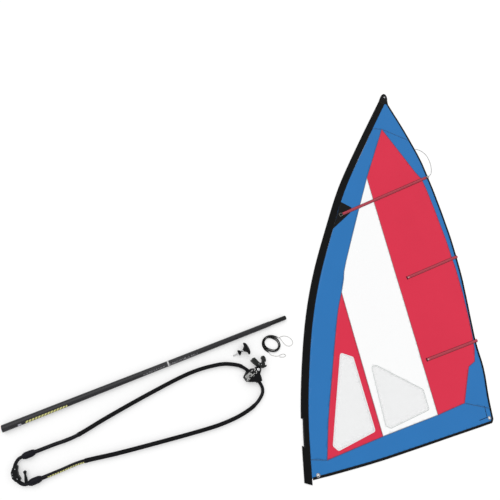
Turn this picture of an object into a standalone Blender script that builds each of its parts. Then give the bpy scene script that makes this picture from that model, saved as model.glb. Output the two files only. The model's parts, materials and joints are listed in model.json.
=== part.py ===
# Windsurf rig laid out flat on the floor: sail, lower mast section, wishbone boom, mast foot and uphaul rope.
# Metres, +Z up. Everything stands on z = 0, and the origin is under the middle of the laid-out kit.

import math

import bmesh
import bpy
from mathutils import Matrix, Vector

# Clearances that every fit is made with
GAP = 0.0003
SLIDE_GAP = 0.0004

# Sail: heights run up the luff from the tack, widths run across from the luff chord towards the leech
SAIL_AT = (0.140, -2.131)
SAIL_ANGLE = math.radians(-18.9)
CLOTH = 0.0025
SLEEVE_WIDTH = 0.083
SLEEVE_HEIGHT = 0.010
SLEEVE_LAYER = 0.0015
SLEEVE_FOLD = 0.008
SLEEVE_SEAM = 0.012
SLEEVE_TOP = 4.385
LUFF_STEPS = 36
LUFF_EDGE = ((0.0, 0.0), (-0.148, 0.45), (-0.254, 0.88), (-0.346, 1.42), (-0.378, 1.93), (-0.358, 2.51),
             (-0.331, 2.93), (-0.276, 3.30), (-0.163, 3.90), (-0.052, 4.45))
CUTOUT_FROM = 0.29
CUTOUT_HEIGHT = 0.225
CUTOUT_DEPTH = 0.020
LEECH_EDGE = ((0.062, 4.402), (0.113, 4.351), (0.430, 4.040), (0.760, 3.644), (1.291, 2.750), (1.635, 1.895),
              (1.785, 1.589), (1.877, 1.302), (1.957, 1.097))
FOOT_EDGE = ((1.932, 1.043), (1.340, 0.710), (0.750, 0.381), (0.300, 0.150), (0.090, 0.047))
TAPE_WIDTH = 0.014
RED_TOP = (0.046, 3.998)
WHITE_TOP = (-0.014, 3.262)
FRONT_TOP = (-0.028, 1.826)
FRONT_FOOT = (0.174, 0.236)
MIDDLE_FOOT = (0.700, 0.585)
RED_FOOT = (1.279, 0.948)
RED_STEP = ((1.581, 1.154), (1.591, 1.544), (1.659, 1.624))
WHITE_LUFF_BEND = ((-0.051, 2.193), (-0.036, 1.980))
FRONT_LUFF_BEND = ((-0.026, 1.640), (0.009, 1.326), (0.059, 0.939), (0.108, 0.575))
RED_LEECH_BEND = ((1.607, 1.883), (1.287, 2.613), (0.749, 3.480), (0.584, 3.616))
HEAD_SEAM_LUFF = 3.95
HEAD_SEAM_LEECH = 4.02
LEECH_SEAM = 1.19
TACK_SEAM = 0.20
FRONT_WINDOW = ((0.096, 1.218), (0.235, 1.220), (0.606, 0.610), (0.269, 0.346), (0.207, 0.370))
MIDDLE_WINDOW = ((0.453, 1.193), (0.503, 1.222), (1.072, 1.147), (1.170, 0.971), (0.773, 0.680), (0.711, 0.688))
WINDOW_CORNER = 0.022
CLEW_CORNER = ((1.951, 1.066), (1.944, 1.050))
CLEW_INNER = ((1.936, 1.075), (1.930, 1.063))
FOOT_START = 0.05
HEAD_LOOP = ((0.044, 4.446), (0.034, 4.486), (0.012, 4.519), (-0.020, 4.5265), (-0.046, 4.496), (-0.059, 4.440))
HEAD_EYE_AT = (-0.004, 4.478)
HEAD_EYE_RADIUS = 0.009
WEBBING_HEIGHT = 0.006
PATCH = 0.0012
PATCH_OUTER = ((-0.121, 2.818), (-0.122, 2.746))
PATCH_TOP = 2.83
PATCH_FOOT = 2.48
CLEW_EYE_AT = (1.905, 1.092)
TACK_EYE_AT = (0.118, 0.092)
EYE_RADIUS = 0.020
EYE_BORE = 0.010
EYE_WALL = 0.003
EYE_LIP = 0.0015
EYE_HEIGHT = 0.006
BATTEN_DIAMETER = 0.008
POCKET_WIDTH = 0.034
POCKET_HEIGHT = 0.012
POCKET_CHANNEL = 0.011
POCKET_HOLLOW = 0.010
BATTENS = (((-0.205, 2.698), (0.746, 3.614)), ((0.694, 2.259), (1.295, 2.757)),
           ((1.069, 1.455), (1.670, 1.865)))
BATTEN_SETBACK = 0.012
TIP_LENGTH = 0.030
TIP_WIDTH = 0.026
TIP_HEIGHT = 0.013
TIP_SEAT = 0.014
STRAP_WIDTH = 0.020
STRAP_THICKNESS = 0.0012
STRAP_LENGTH = 0.058
BUCKLE_LENGTH = 0.040
BUCKLE_WIDTH = 0.034
BUCKLE_BAR = 0.004
BUCKLE_HEIGHT = 0.004
BUCKLE_SETBACK = 0.010
LEECH_CORD_DIAMETER = 0.004
LEECH_CORD = ((0.788, 3.664, 0.003), (0.802, 3.705, 0.002), (0.795, 3.770, 0.002), (0.768, 3.838, 0.002),
              (0.722, 3.902, 0.002), (0.668, 3.938, 0.002), (0.606, 3.950, 0.002))
LEECH_CORD_RISE = 0.0055
LEECH_CORD_LEVEL = 3.930
LEECH_CORD_LEAD = 0.020

# Mast: the lower section of a two-piece mast, from its open butt to its ferrule
MAST_TIP_AT = (0.055, -0.658)
MAST_ANGLE = math.radians(19.7)
MAST_LENGTH = 2.36
MAST_TAPER_LENGTH = 1.24
MAST_BUTT_DIAMETER = 0.058
MAST_DIAMETER = 0.049
MAST_WALL = 0.004
FERRULE_DIAMETER = 0.0424
FERRULE_LENGTH = 0.18
FERRULE_SEAT = 0.12
FERRULE_WALL = 0.003
FERRULE_CHAMFER = (0.0015, 0.004)
RING_AFTER_TAPER = 0.09
RING_WIDTH = 0.014
RING_THICKNESS = 0.0012

# Boom: distances run back from the head, and on the tail from the arms' rear ends, and out to each side
BOOM_ANGLE = math.radians(17.85)
BOOM_HEIGHT = 0.0275
HEAD_BACK = 0.472
MAST_TO_BOOM = 0.124
ARM_DIAMETER = 0.031
ARM_BORE = 0.027
ARM_REACH = 1.941
ARM_STRAIGHT = 0.340
REAR_SPREAD = 0.100
UPPER_ARM = ((1.353, 0.146), (1.040, 0.197), (0.705, 0.242), (0.520, 0.252), (0.365, 0.240), (0.254, 0.217),
             (0.150, 0.168), (0.104, 0.127), (0.072, 0.083))
UPPER_ARM_END = (0.050, 0.048)
LOWER_ARM = ((1.343, -0.143), (1.053, -0.184), (0.746, -0.224), (0.532, -0.2475), (0.400, -0.253), (0.285, -0.248),
             (0.174, -0.230), (0.105, -0.207), (0.058, -0.181), (0.018, -0.147), (0.001, -0.112), (0.000, -0.078),
             (0.007, -0.046))
LOWER_ARM_END = (0.015, -0.012)
GRIP_THICKNESS = 0.0018
GRIP_START = 1.585
GRIP_END = 0.120
LEG_DIAMETER = 0.0262
LEG_OVERLAP = 0.320
TAIL_TRAVEL = 0.260
CLIP_DIAMETER = 0.055
CLIP_NECK = 0.038
CLIP_SEAT = 0.040
CLIP_TAIL = 0.050
CLIP_FULL = (0.018, -0.028)
LEVER_PIVOT = 0.020
LEVER_LENGTH = 0.056
LEVER_HEIGHT = 0.018
LEVER_THICKNESS = 0.006
LEVER_PIN_RADIUS = 0.002
LEVER_PIN_LENGTH = 0.022
LEVER_SEAT = 0.0195
LEG_BEND = ((0.055, 0.100), (0.075, 0.0965), (0.093, 0.084), (0.109, 0.064), (0.118, 0.044), (0.121, 0.027))
TAIL_END_OUTLINE = ((0.103, 0.064), (0.129, 0.052), (0.146, 0.022), (0.146, -0.022), (0.129, -0.052),
                    (0.103, -0.064), (0.091, -0.046), (0.101, -0.015), (0.101, 0.015), (0.091, 0.046))
TAIL_END_HEIGHT = 0.044
TAIL_END_CORNER = 0.008
SLOT_DEPTH = 0.04
ROLLER_BACK = 0.139
ROLLER_SPREAD = 0.0105
ROLLER_DIAMETER = 0.017
ROLLER_WIDTH = 0.009
ROLLER_PIN_RADIUS = 0.0025
ROLLER_ROOM = 0.0008
BRIDGE_HEIGHT = 0.003
CLEAT_OUTLINE = ((0.053, -0.092), (0.075, -0.092), (0.072, -0.062), (0.065, -0.030), (0.069, -0.004),
                 (0.055, 0.002), (0.045, -0.012), (0.053, -0.032), (0.051, -0.064))
CLEAT_HEIGHT = 0.016
CLEAT_CORNER = 0.003
ROLLER_GROOVE = (0.0015, 0.003)
YOKE_OUTLINE = ((0.120, 0.004), (0.088, -0.013), (0.034, -0.032), (0.030, -0.041), (-0.015, -0.039),
                (-0.019, -0.008), (-0.018, 0.026))
YOKE_BACK = ((0.040, 0.098), (0.088, 0.090), (0.134, 0.050))
BOLT_AHEAD = 0.015
BOLT_SIDE = 0.067
FORK_ANGLE = math.radians(48.0)
FORK_RADIUS = 0.028
FORK_ROOM = 0.030
TONGUE_RADIUS = 0.0255
TONGUE_HALF_WIDTH = 0.016
TONGUE_HEIGHT = 0.022
BOLT_RADIUS = 0.005
BOLT_HEAD_RADIUS = 0.014
BOLT_HEAD_HEIGHT = 0.006
BOLT_EDGE = 0.001
CLAMP_ANGLE = math.radians(56.0)
CLAMP_FLOOR_GAP = 0.0013
CLAMP_HEIGHT = 0.066
CLAMP_BODY_START = 0.0315
CLAMP_START_HALF = 0.022
CLAMP_SHOULDER = ((0.024, -0.042), (0.044, -0.066), (0.060, -0.066), (0.052, -0.050))
CLAMP_BORE_AT = 0.088
CLAMP_BORE_RADIUS = 0.026
FINGER_LENGTH = 0.058
FINGER_THICKNESS = 0.038
JAW_PIVOT = (0.070, -0.038)
JAW_THICKNESS = 0.023
JAW_FROM = math.radians(-20.0)
JAW_TO = math.radians(-108.0)
JAW_HEEL = math.radians(12.0)
JAW_NECK = math.radians(-88.0)
JAW_NECK_HALF = 0.0056
BORE_FROM = math.radians(-120.0)
BORE_TO = math.radians(-210.0)
KNUCKLE_RADIUS = 0.008
KNUCKLE_ROOM = 0.010
KNUCKLE_HEIGHT = 0.028
JAW_PIN_RADIUS = 0.003
HEAD_LINE_DIAMETER = 0.009
HEAD_LINE_PITCH = 0.0105
HEAD_LINE_RUNS = 5
HEAD_LINE_FRONT = (0.016, 0.066)
HEAD_LINE_BACK = (0.122, 0.030)

# Mast foot: distances run along its axis from the pin's tip, which lies on the floor as the disc's rim does
FOOT_BACK = 0.620
FOOT_TO_MAST = 0.127
FOOT_ANGLE = math.radians(27.7)
PIN_RADIUS = 0.006
PIN_SEAT = 0.015
PIN_STEP = 0.001
PIN_GROOVE = (0.012, 0.014, 0.020, 0.022)
PIN_GROOVE_DEPTH = 0.0018
CUP_AT = 0.055
CUP_RADIUS = 0.026
JOINT_AT = 0.093
JOINT_HALF = 0.0122
EAR_HALF_WIDTH = 0.0035
EAR_INNER = 0.0075
EAR_OUTER = 0.0105
EAR_SINK = 0.001
CROSS_PIN_RADIUS = 0.0020
NECK_RADIUS = 0.0122
RIM_AT = 0.150
DISC_RADIUS = 0.060
DISC_EDGE = 0.016
DISC_ROUND = (0.006, 0.005)
DISC_CROWN = 0.011
DISC_FLAT_RADIUS = 0.028
DISC_SHOULDER = 0.046
DISC_SHOULDER_RISE = 0.0066
HUB_RADIUS = 0.034
HUB_BORE = 0.0055
HUB_STEP = (0.002, 0.006)
HUB_CHAMFER = (0.003, 0.007)
BOLT_SINK = 0.002
CUP_LIP = 0.006

# Uphaul rope: a coil of two layers, a thin loop at one end and a thin tail with an eye at the other
COIL_BACK = 0.228
COIL_TO_MAST = 0.060
ROPE_DIAMETER = 0.010
COIL_RADIUS = 0.0995
COIL_OVAL = 0.07
COIL_OVAL_ANGLE = math.radians(-12.0)
COIL_PITCH = 0.0155
COIL_GATHER = 0.22
COIL_GATHER_ANGLE = math.radians(-35.0)
COIL_LAYER = 0.0108
COIL_TURNS = 3.52
COIL_START_ANGLE = math.radians(-122.0)
LOOP_POINTS = 24
THIN_LINE = 0.004
FLOOR_LINE = THIN_LINE / 2
THIN_LOOP = ((0.100, 0.068, 0.006), (0.126, 0.074, FLOOR_LINE), (0.158, 0.071, FLOOR_LINE),
             (0.192, 0.056, FLOOR_LINE), (0.216, 0.030, FLOOR_LINE), (0.219, 0.002, FLOOR_LINE),
             (0.198, -0.018, FLOOR_LINE), (0.166, -0.021, FLOOR_LINE), (0.136, -0.004, FLOOR_LINE),
             (0.112, 0.026, FLOOR_LINE), (0.094, 0.050, FLOOR_LINE), (0.083, 0.061, FLOOR_LINE))
THIN_TAIL = ((-0.016, -0.097, 0.003), (0.006, -0.107, FLOOR_LINE), (0.036, -0.114, FLOOR_LINE),
             (0.064, -0.113, FLOOR_LINE), (0.086, -0.103, FLOOR_LINE), (0.110, -0.096, FLOOR_LINE),
             (0.132, -0.100, FLOOR_LINE), (0.140, -0.110, FLOOR_LINE), (0.128, -0.121, FLOOR_LINE),
             (0.104, -0.125, FLOOR_LINE), (0.078, -0.121, FLOOR_LINE))

SIDES = 24
COLLECTION = "windsurf_rig"
FINISHES = {
    "blue_film": ((0.034, 0.188, 0.485), 0.38, 0.0),
    "red_film": ((0.708, 0.040, 0.076), 0.38, 0.0),
    "white_film": ((0.90, 0.91, 0.92), 0.35, 0.0),
    "window_film": ((0.88, 0.90, 0.92), 0.12, 0.0),
    "sleeve_cloth": ((0.012, 0.012, 0.014), 0.75, 0.0),
    "black_tape": ((0.015, 0.015, 0.017), 0.7, 0.0),
    "pocket_cloth": ((0.52, 0.045, 0.07), 0.55, 0.0),
    "batten_rod": ((0.55, 0.55, 0.52), 0.4, 0.0),
    "grey_plastic": ((0.36, 0.36, 0.35), 0.45, 0.0),
    "steel": ((0.62, 0.63, 0.65), 0.28, 1.0),
    "carbon": ((0.022, 0.022, 0.025), 0.32, 0.0),
    "black_alloy": ((0.018, 0.018, 0.020), 0.35, 0.6),
    "grip_foam": ((0.014, 0.014, 0.016), 0.85, 0.0),
    "black_plastic": ((0.016, 0.016, 0.020), 0.45, 0.0),
    "rubber": ((0.018, 0.018, 0.020), 0.8, 0.0),
    "flecked_rope": ((0.10, 0.10, 0.10), 0.8, 0.0),
    "black_rope": ((0.012, 0.012, 0.012), 0.85, 0.0),
    "pale_line": ((0.50, 0.49, 0.46), 0.7, 0.0),
}


# Scene and finishes

for old in list(bpy.data.objects):
    bpy.data.objects.remove(old, do_unlink=True)

parts = bpy.data.collections.new(COLLECTION)
cutters = bpy.data.collections.new("cutters")
bpy.context.scene.collection.children.link(parts)
bpy.context.scene.collection.children.link(cutters)


def finish(name):
    found = bpy.data.materials.get(name)
    if found:
        return found
    colour, roughness, metallic = FINISHES[name]
    made = bpy.data.materials.new(name)
    made.use_nodes = True
    shader = made.node_tree.nodes["Principled BSDF"]
    shader.inputs["Base Color"].default_value = (*colour, 1.0)
    shader.inputs["Roughness"].default_value = roughness
    shader.inputs["Metallic"].default_value = metallic
    return made


def anchor(name, at, parent=None, turn=(0.0, 0.0, 0.0)):
    """An empty that carries a group of pieces, or stands on a joint's axis."""
    empty = bpy.data.objects.new(name, None)
    parts.objects.link(empty)
    empty.location = at
    empty.rotation_euler = turn
    empty.parent = parent
    return empty


def piece(name, data, parent, material, at=(0.0, 0.0, 0.0), turn=(0.0, 0.0, 0.0)):
    made = bpy.data.objects.new(name, data)
    parts.objects.link(made)
    made.location = at
    made.rotation_euler = turn
    made.parent = parent
    data.materials.clear()
    data.materials.append(finish(material))
    return made


# Shapes

def smooth(points, steps=6):
    """Points along a smooth curve through the given ones, steps to each span."""
    route = [Vector(p) for p in points]
    route = [2 * route[0] - route[1]] + route + [2 * route[-1] - route[-2]]
    found = []
    for before, start, end, after in zip(route, route[1:], route[2:], route[3:]):
        for step in range(steps):
            t = step / steps
            bend = 2 * before - 5 * start + 4 * end - after
            twist = 3 * start - before - 3 * end + after
            found.append(0.5 * (2 * start + (end - before) * t + bend * t * t + twist * t ** 3))
    return found + [route[-2]]


def even(points, count):
    """The same route with evenly spaced points."""
    lengths = [0.0]
    for a, b in zip(points, points[1:]):
        lengths.append(lengths[-1] + (b - a).length)
    found = []
    span = 0
    for index in range(count):
        want = lengths[-1] * index / (count - 1)
        while span < len(points) - 2 and lengths[span + 1] < want:
            span += 1
        share = (want - lengths[span]) / (lengths[span + 1] - lengths[span])
        found.append(points[span].lerp(points[span + 1], min(share, 1.0)))
    return found


def shifted(points, distance):
    """An open flat route moved sideways, to its left when the distance is positive."""
    found = []
    for index, point in enumerate(points):
        ahead = points[min(index + 1, len(points) - 1)]
        behind = points[max(index - 1, 0)]
        along = (ahead - behind).normalized()
        found.append(Vector((point.x - along.y * distance, point.y + along.x * distance)))
    return found


def area(outline):
    return 0.5 * sum(a.x * b.y - b.x * a.y for a, b in zip(outline, outline[1:] + outline[:1]))


def inset(outline, distance):
    """A closed flat outline drawn in by a small distance, with mitred corners."""
    outline = [Vector((p[0], p[1])) for p in outline]
    outline = [p for p, q in zip(outline, outline[1:] + outline[:1]) if (p - q).length > distance]
    side = 1.0 if area(outline) > 0 else -1.0
    found = []
    for before, point, after in zip(outline[-1:] + outline[:-1], outline, outline[1:] + outline[:1]):
        a = (point - before).normalized()
        b = (after - point).normalized()
        normal_a = Vector((-a.y, a.x)) * side
        normal_b = Vector((-b.y, b.x)) * side
        found.append(point + (normal_a + normal_b) * (distance / max(1.0 + normal_a.dot(normal_b), 0.2)))
    return found


def rounded(outline, radius, steps=4):
    """A closed flat outline with its corners rounded."""
    outline = [Vector(p) for p in outline]
    found = []
    for before, point, after in zip(outline[-1:] + outline[:-1], outline, outline[1:] + outline[:1]):
        back = (before - point).normalized()
        on = (after - point).normalized()
        side = min((before - point).length, (after - point).length)
        reach = min(radius / math.tan(back.angle(on) / 2), 0.45 * side)
        for step in range(steps + 1):
            t = step / steps
            start = point + back * reach
            end = point + on * reach
            found.append(start * (1 - t) ** 2 + point * 2 * t * (1 - t) + end * t * t)
    return found


def circle(centre, radius, count=SIDES):
    return [Vector((centre[0] + radius * math.cos(math.tau * k / count),
                    centre[1] + radius * math.sin(math.tau * k / count))) for k in range(count)]


def plate(name, outlines, bottom, thickness, parent, material):
    """A flat outline, with holes if more outlines are given, as thick as given."""
    data = bpy.data.curves.new(name, "CURVE")
    data.dimensions = "2D"
    data.fill_mode = "BOTH"
    data.extrude = thickness / 2
    for outline in outlines:
        line = data.splines.new("POLY")
        line.points.add(len(outline) - 1)
        for point, place in zip(line.points, outline):
            point.co = (place[0], place[1], 0.0, 1.0)
        line.use_cyclic_u = True
    return piece(name, data, parent, material, (0.0, 0.0, bottom + thickness / 2))


def tube(name, points, radius, parent, material, resolution=2, caps=True):
    """A round bar along a route."""
    data = bpy.data.curves.new(name, "CURVE")
    data.dimensions = "3D"
    data.twist_mode = "Z_UP"
    data.bevel_depth = radius
    data.bevel_resolution = resolution
    data.use_fill_caps = caps
    line = data.splines.new("POLY")
    line.points.add(len(points) - 1)
    for point, place in zip(line.points, points):
        height = place[2] if len(place) > 2 else 0.0
        point.co = (place[0], place[1], height, 1.0)
    line.use_smooth = True
    return piece(name, data, parent, material)


def turned(name, profile, parent, material, at=(0.0, 0.0, 0.0), turn=(0.0, 0.0, 0.0), closed=False,
           sides=SIDES):
    """A shape turned about its own Z axis: the profile runs down its outer side, as (radius, height)."""
    data = bpy.data.meshes.new(name)
    shape = bmesh.new()
    corners = [shape.verts.new((radius, 0.0, height)) for radius, height in profile]
    pairs = list(zip(corners, corners[1:]))
    if closed:
        pairs.append((corners[-1], corners[0]))
    for pair in pairs:
        shape.edges.new(pair)
    shape.to_mesh(data)
    shape.free()
    made = piece(name, data, parent, material, at, turn)
    spin = made.modifiers.new("Screw", "SCREW")
    spin.steps = sides
    spin.render_steps = sides
    spin.use_merge_vertices = True
    spin.merge_threshold = 0.00005
    spin.use_smooth_shade = True
    return made


def block(name, size, parent, material, at=(0.0, 0.0, 0.0), turn=(0.0, 0.0, 0.0), edge=0.0):
    data = bpy.data.meshes.new(name)
    shape = bmesh.new()
    bmesh.ops.create_cube(shape, size=1.0)
    bmesh.ops.scale(shape, vec=size, verts=shape.verts)
    shape.to_mesh(data)
    shape.free()
    made = piece(name, data, parent, material, at, turn)
    if edge:
        soften(made, edge)
    return made


def rod(name, radius, length, parent, material, at=(0.0, 0.0, 0.0), turn=(0.0, 0.0, 0.0), sides=SIDES):
    data = bpy.data.meshes.new(name)
    shape = bmesh.new()
    bmesh.ops.create_cone(shape, cap_ends=True, segments=sides, radius1=radius, radius2=radius, depth=length)
    shape.to_mesh(data)
    shape.free()
    return piece(name, data, parent, material, at, turn)


def soften(made, width):
    bevel = made.modifiers.new("Bevel", "BEVEL")
    bevel.width = width
    bevel.segments = 1
    bevel.limit_method = "ANGLE"
    bevel.angle_limit = math.radians(40)
    return made


def solid(made):
    """The piece as a welded mesh, so that it can be cut or joined."""
    bpy.context.view_layer.update()
    shown = made.evaluated_get(bpy.context.evaluated_depsgraph_get())
    data = bpy.data.meshes.new_from_object(shown)
    shape = bmesh.new()
    shape.from_mesh(data)
    bmesh.ops.remove_doubles(shape, verts=shape.verts, dist=0.00002)
    bmesh.ops.recalc_face_normals(shape, faces=shape.faces)
    shape.to_mesh(data)
    shape.free()
    name = made.name
    place = made.matrix_world.copy()
    parent = made.parent
    group = made.users_collection[0]
    bpy.data.objects.remove(made, do_unlink=True)
    fresh = bpy.data.objects.new(name, data)
    group.objects.link(fresh)
    fresh.parent = parent
    fresh.matrix_world = place
    return fresh


def boolean(target, tool, operation):
    step = target.modifiers.new(operation.title(), "BOOLEAN")
    step.operation = operation
    step.object = tool
    step.solver = "EXACT"


def cut(target, *tools):
    for tool in tools:
        put_away(tool)
        boolean(target, tool, "DIFFERENCE")
    return target


def join(target, *tools):
    for tool in tools:
        put_away(tool)
        boolean(target, tool, "UNION")
    return target


def put_away(tool):
    for group in list(tool.users_collection):
        group.objects.unlink(tool)
    cutters.objects.link(tool)
    tool.hide_render = True
    tool.display_type = "WIRE"
    tool.name = "cutter_" + tool.name


# Sail

def level_line(route, low, high):
    """The stretch of a route between two heights, from low to high."""
    ordered = sorted(route, key=lambda p: p.y)
    inside = [p for p in ordered if low + 0.002 < p.y < high - 0.002]
    return [at_level(ordered, low)] + inside + [at_level(ordered, high)]


def at_level(ordered, level):
    for a, b in zip(ordered, ordered[1:]):
        if a.y <= level <= b.y:
            return a.lerp(b, (level - a.y) / (b.y - a.y))
    return ordered[0] if level < ordered[0].y else ordered[-1]


def across(route, distance):
    return [Vector((p.x + distance, p.y)) for p in route]


def film(name, outline, material, holes=(), bottom=0.0, thickness=CLOTH):
    """A flat cloth or film piece that leaves half a clearance all round."""
    outlines = [inset(outline, GAP / 2)] + [list(hole) for hole in holes]
    return plate(name, outlines, bottom, thickness, sail, material)


def ring_plate(name, centre, height):
    """A turned eye that stands through the cloth, with a flange above it."""
    barrel = EYE_BORE + EYE_WALL
    profile = [(EYE_BORE, height), (EYE_RADIUS - EYE_LIP, height), (EYE_RADIUS, height - EYE_LIP),
               (EYE_RADIUS, CLOTH + GAP), (barrel, CLOTH + GAP), (barrel, 0.0), (EYE_BORE, 0.0)]
    return turned(name, profile, sail, "steel", (centre[0], centre[1], 0.0), closed=True)


def eye_hole(centre):
    return circle(centre, EYE_BORE + EYE_WALL + GAP)


def off_leech(level, distance):
    """A point so far off the leech's edge at a given height."""
    here = at_level(leech[::-1], level)
    above = at_level(leech[::-1], level + TAPE_WIDTH)
    along = (above - here).normalized()
    return here + Vector((along.y, -along.x)) * distance


sail = anchor("sail", (*SAIL_AT, 0.0), turn=(0.0, 0.0, SAIL_ANGLE))
luff = even(smooth(LUFF_EDGE), LUFF_STEPS + 1)
luff_seam = across(luff, SLEEVE_WIDTH)
leech = smooth(LEECH_EDGE, 4)
leech_seam = shifted(leech, -TAPE_WIDTH)
foot_line = smooth(FOOT_EDGE, 4)
foot_seam = shifted(foot_line, -TAPE_WIDTH)
clew_corner = [Vector(p) for p in CLEW_CORNER]
clew_inner = [Vector(p) for p in CLEW_INNER]

front_edge = smooth([FRONT_TOP, *FRONT_LUFF_BEND, FRONT_FOOT], 3)
white_edge = smooth([WHITE_TOP, *WHITE_LUFF_BEND, FRONT_TOP], 3)
red_edge = [Vector(p) for p in (RED_FOOT, *RED_STEP)] + smooth([RED_STEP[-1], *RED_LEECH_BEND, RED_TOP], 3)[1:]

sleeve_low = level_line(luff, 0.0, CUTOUT_FROM)
sleeve_mid = level_line(luff, CUTOUT_FROM, CUTOUT_FROM + CUTOUT_HEIGHT)
sleeve_high = level_line(luff, CUTOUT_FROM + CUTOUT_HEIGHT, SLEEVE_TOP)
layer_outline = (sleeve_low + across(sleeve_mid, CUTOUT_DEPTH) + sleeve_high
                 + across(level_line(luff, 0.0, SLEEVE_TOP), SLEEVE_WIDTH)[::-1])
core_bottom = SLEEVE_LAYER + GAP
core_height = SLEEVE_HEIGHT - 2 * (SLEEVE_LAYER + GAP)
under = solid(film("luff_sleeve_under", layer_outline, "sleeve_cloth", thickness=SLEEVE_LAYER))
low_fold = inset(sleeve_low + across(sleeve_low, SLEEVE_FOLD)[::-1], GAP / 2)
fold_height = SLEEVE_HEIGHT - 1.5 * SLEEVE_LAYER - GAP
join(under, solid(plate("low_fold", [low_fold], SLEEVE_LAYER / 2, fold_height, sail, "sleeve_cloth")))
film("luff_sleeve_over", layer_outline, "sleeve_cloth", bottom=SLEEVE_HEIGHT - SLEEVE_LAYER,
     thickness=SLEEVE_LAYER)
film("luff_sleeve_fold", sleeve_high + across(sleeve_high, SLEEVE_FOLD)[::-1], "sleeve_cloth",
     bottom=core_bottom, thickness=core_height)
seam_run = level_line(luff_seam, 0.0, SLEEVE_TOP)
film("luff_sleeve_seam", seam_run + across(seam_run, -SLEEVE_SEAM)[::-1], "sleeve_cloth",
     bottom=core_bottom, thickness=core_height)

front_window = rounded(FRONT_WINDOW, WINDOW_CORNER)
middle_window = rounded(MIDDLE_WINDOW, WINDOW_CORNER)
film("head_panel", level_line(luff_seam, HEAD_SEAM_LUFF, SLEEVE_TOP)
     + level_line(leech_seam, HEAD_SEAM_LEECH, LEECH_EDGE[0][1])[::-1] + [Vector(RED_TOP)], "blue_film")
film("luff_panel", level_line(luff_seam, TACK_SEAM, HEAD_SEAM_LUFF)[::-1] + [Vector(FRONT_FOOT)]
     + front_edge[::-1][1:] + white_edge[::-1][1:] + [Vector(RED_TOP)], "blue_film")
film("leech_panel", [Vector(RED_TOP)] + red_edge[::-1][1:-1]
     + level_line(leech_seam, LEECH_SEAM, HEAD_SEAM_LEECH), "blue_film")
film("upper_panel", red_edge + [Vector(WHITE_TOP)], "red_film")
film("middle_panel", white_edge + [Vector(MIDDLE_FOOT), Vector(RED_FOOT)], "white_film", [middle_window])
film("front_panel", front_edge + [Vector(MIDDLE_FOOT)], "red_film", [front_window])
film("foot_panel", [Vector(FRONT_FOOT), Vector(MIDDLE_FOOT), Vector(RED_FOOT), Vector(RED_STEP[0])]
     + level_line(leech_seam, LEECH_EDGE[-1][1], LEECH_SEAM)[::-1] + clew_inner + foot_seam
     + level_line(luff_seam, FOOT_START, TACK_SEAM), "blue_film",
     [eye_hole(CLEW_EYE_AT), eye_hole(TACK_EYE_AT)])
film("front_window", inset(front_window, GAP / 2), "window_film")
film("middle_window", inset(middle_window, GAP / 2), "window_film")
film("leech_tape", leech + leech_seam[::-1], "black_tape")
film("foot_tape", clew_corner + foot_line + foot_seam[::-1] + clew_inner[::-1], "black_tape")
sleeve_end = [level_line(luff, 0.0, SLEEVE_TOP)[-1], seam_run[-1]]
head_loop = smooth([leech[0], *HEAD_LOOP, sleeve_end[0]], 3)
film("head_webbing", [sleeve_end[1], leech_seam[0]] + head_loop, "black_tape",
     [circle(HEAD_EYE_AT, HEAD_EYE_RADIUS)], thickness=WEBBING_HEIGHT)
patch_run = level_line(luff_seam, PATCH_FOOT, PATCH_TOP)
film("luff_patch", [Vector(p) for p in PATCH_OUTER] + across(patch_run, 3 * GAP), "black_tape",
     bottom=CLOTH + GAP, thickness=PATCH)
ring_plate("clew_eye", CLEW_EYE_AT, EYE_HEIGHT)
ring_plate("tack_eye", TACK_EYE_AT, EYE_HEIGHT)

# Battens, each in a pocket that is a channel sewn over the panel; the top one reaches over the luff patch

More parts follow.
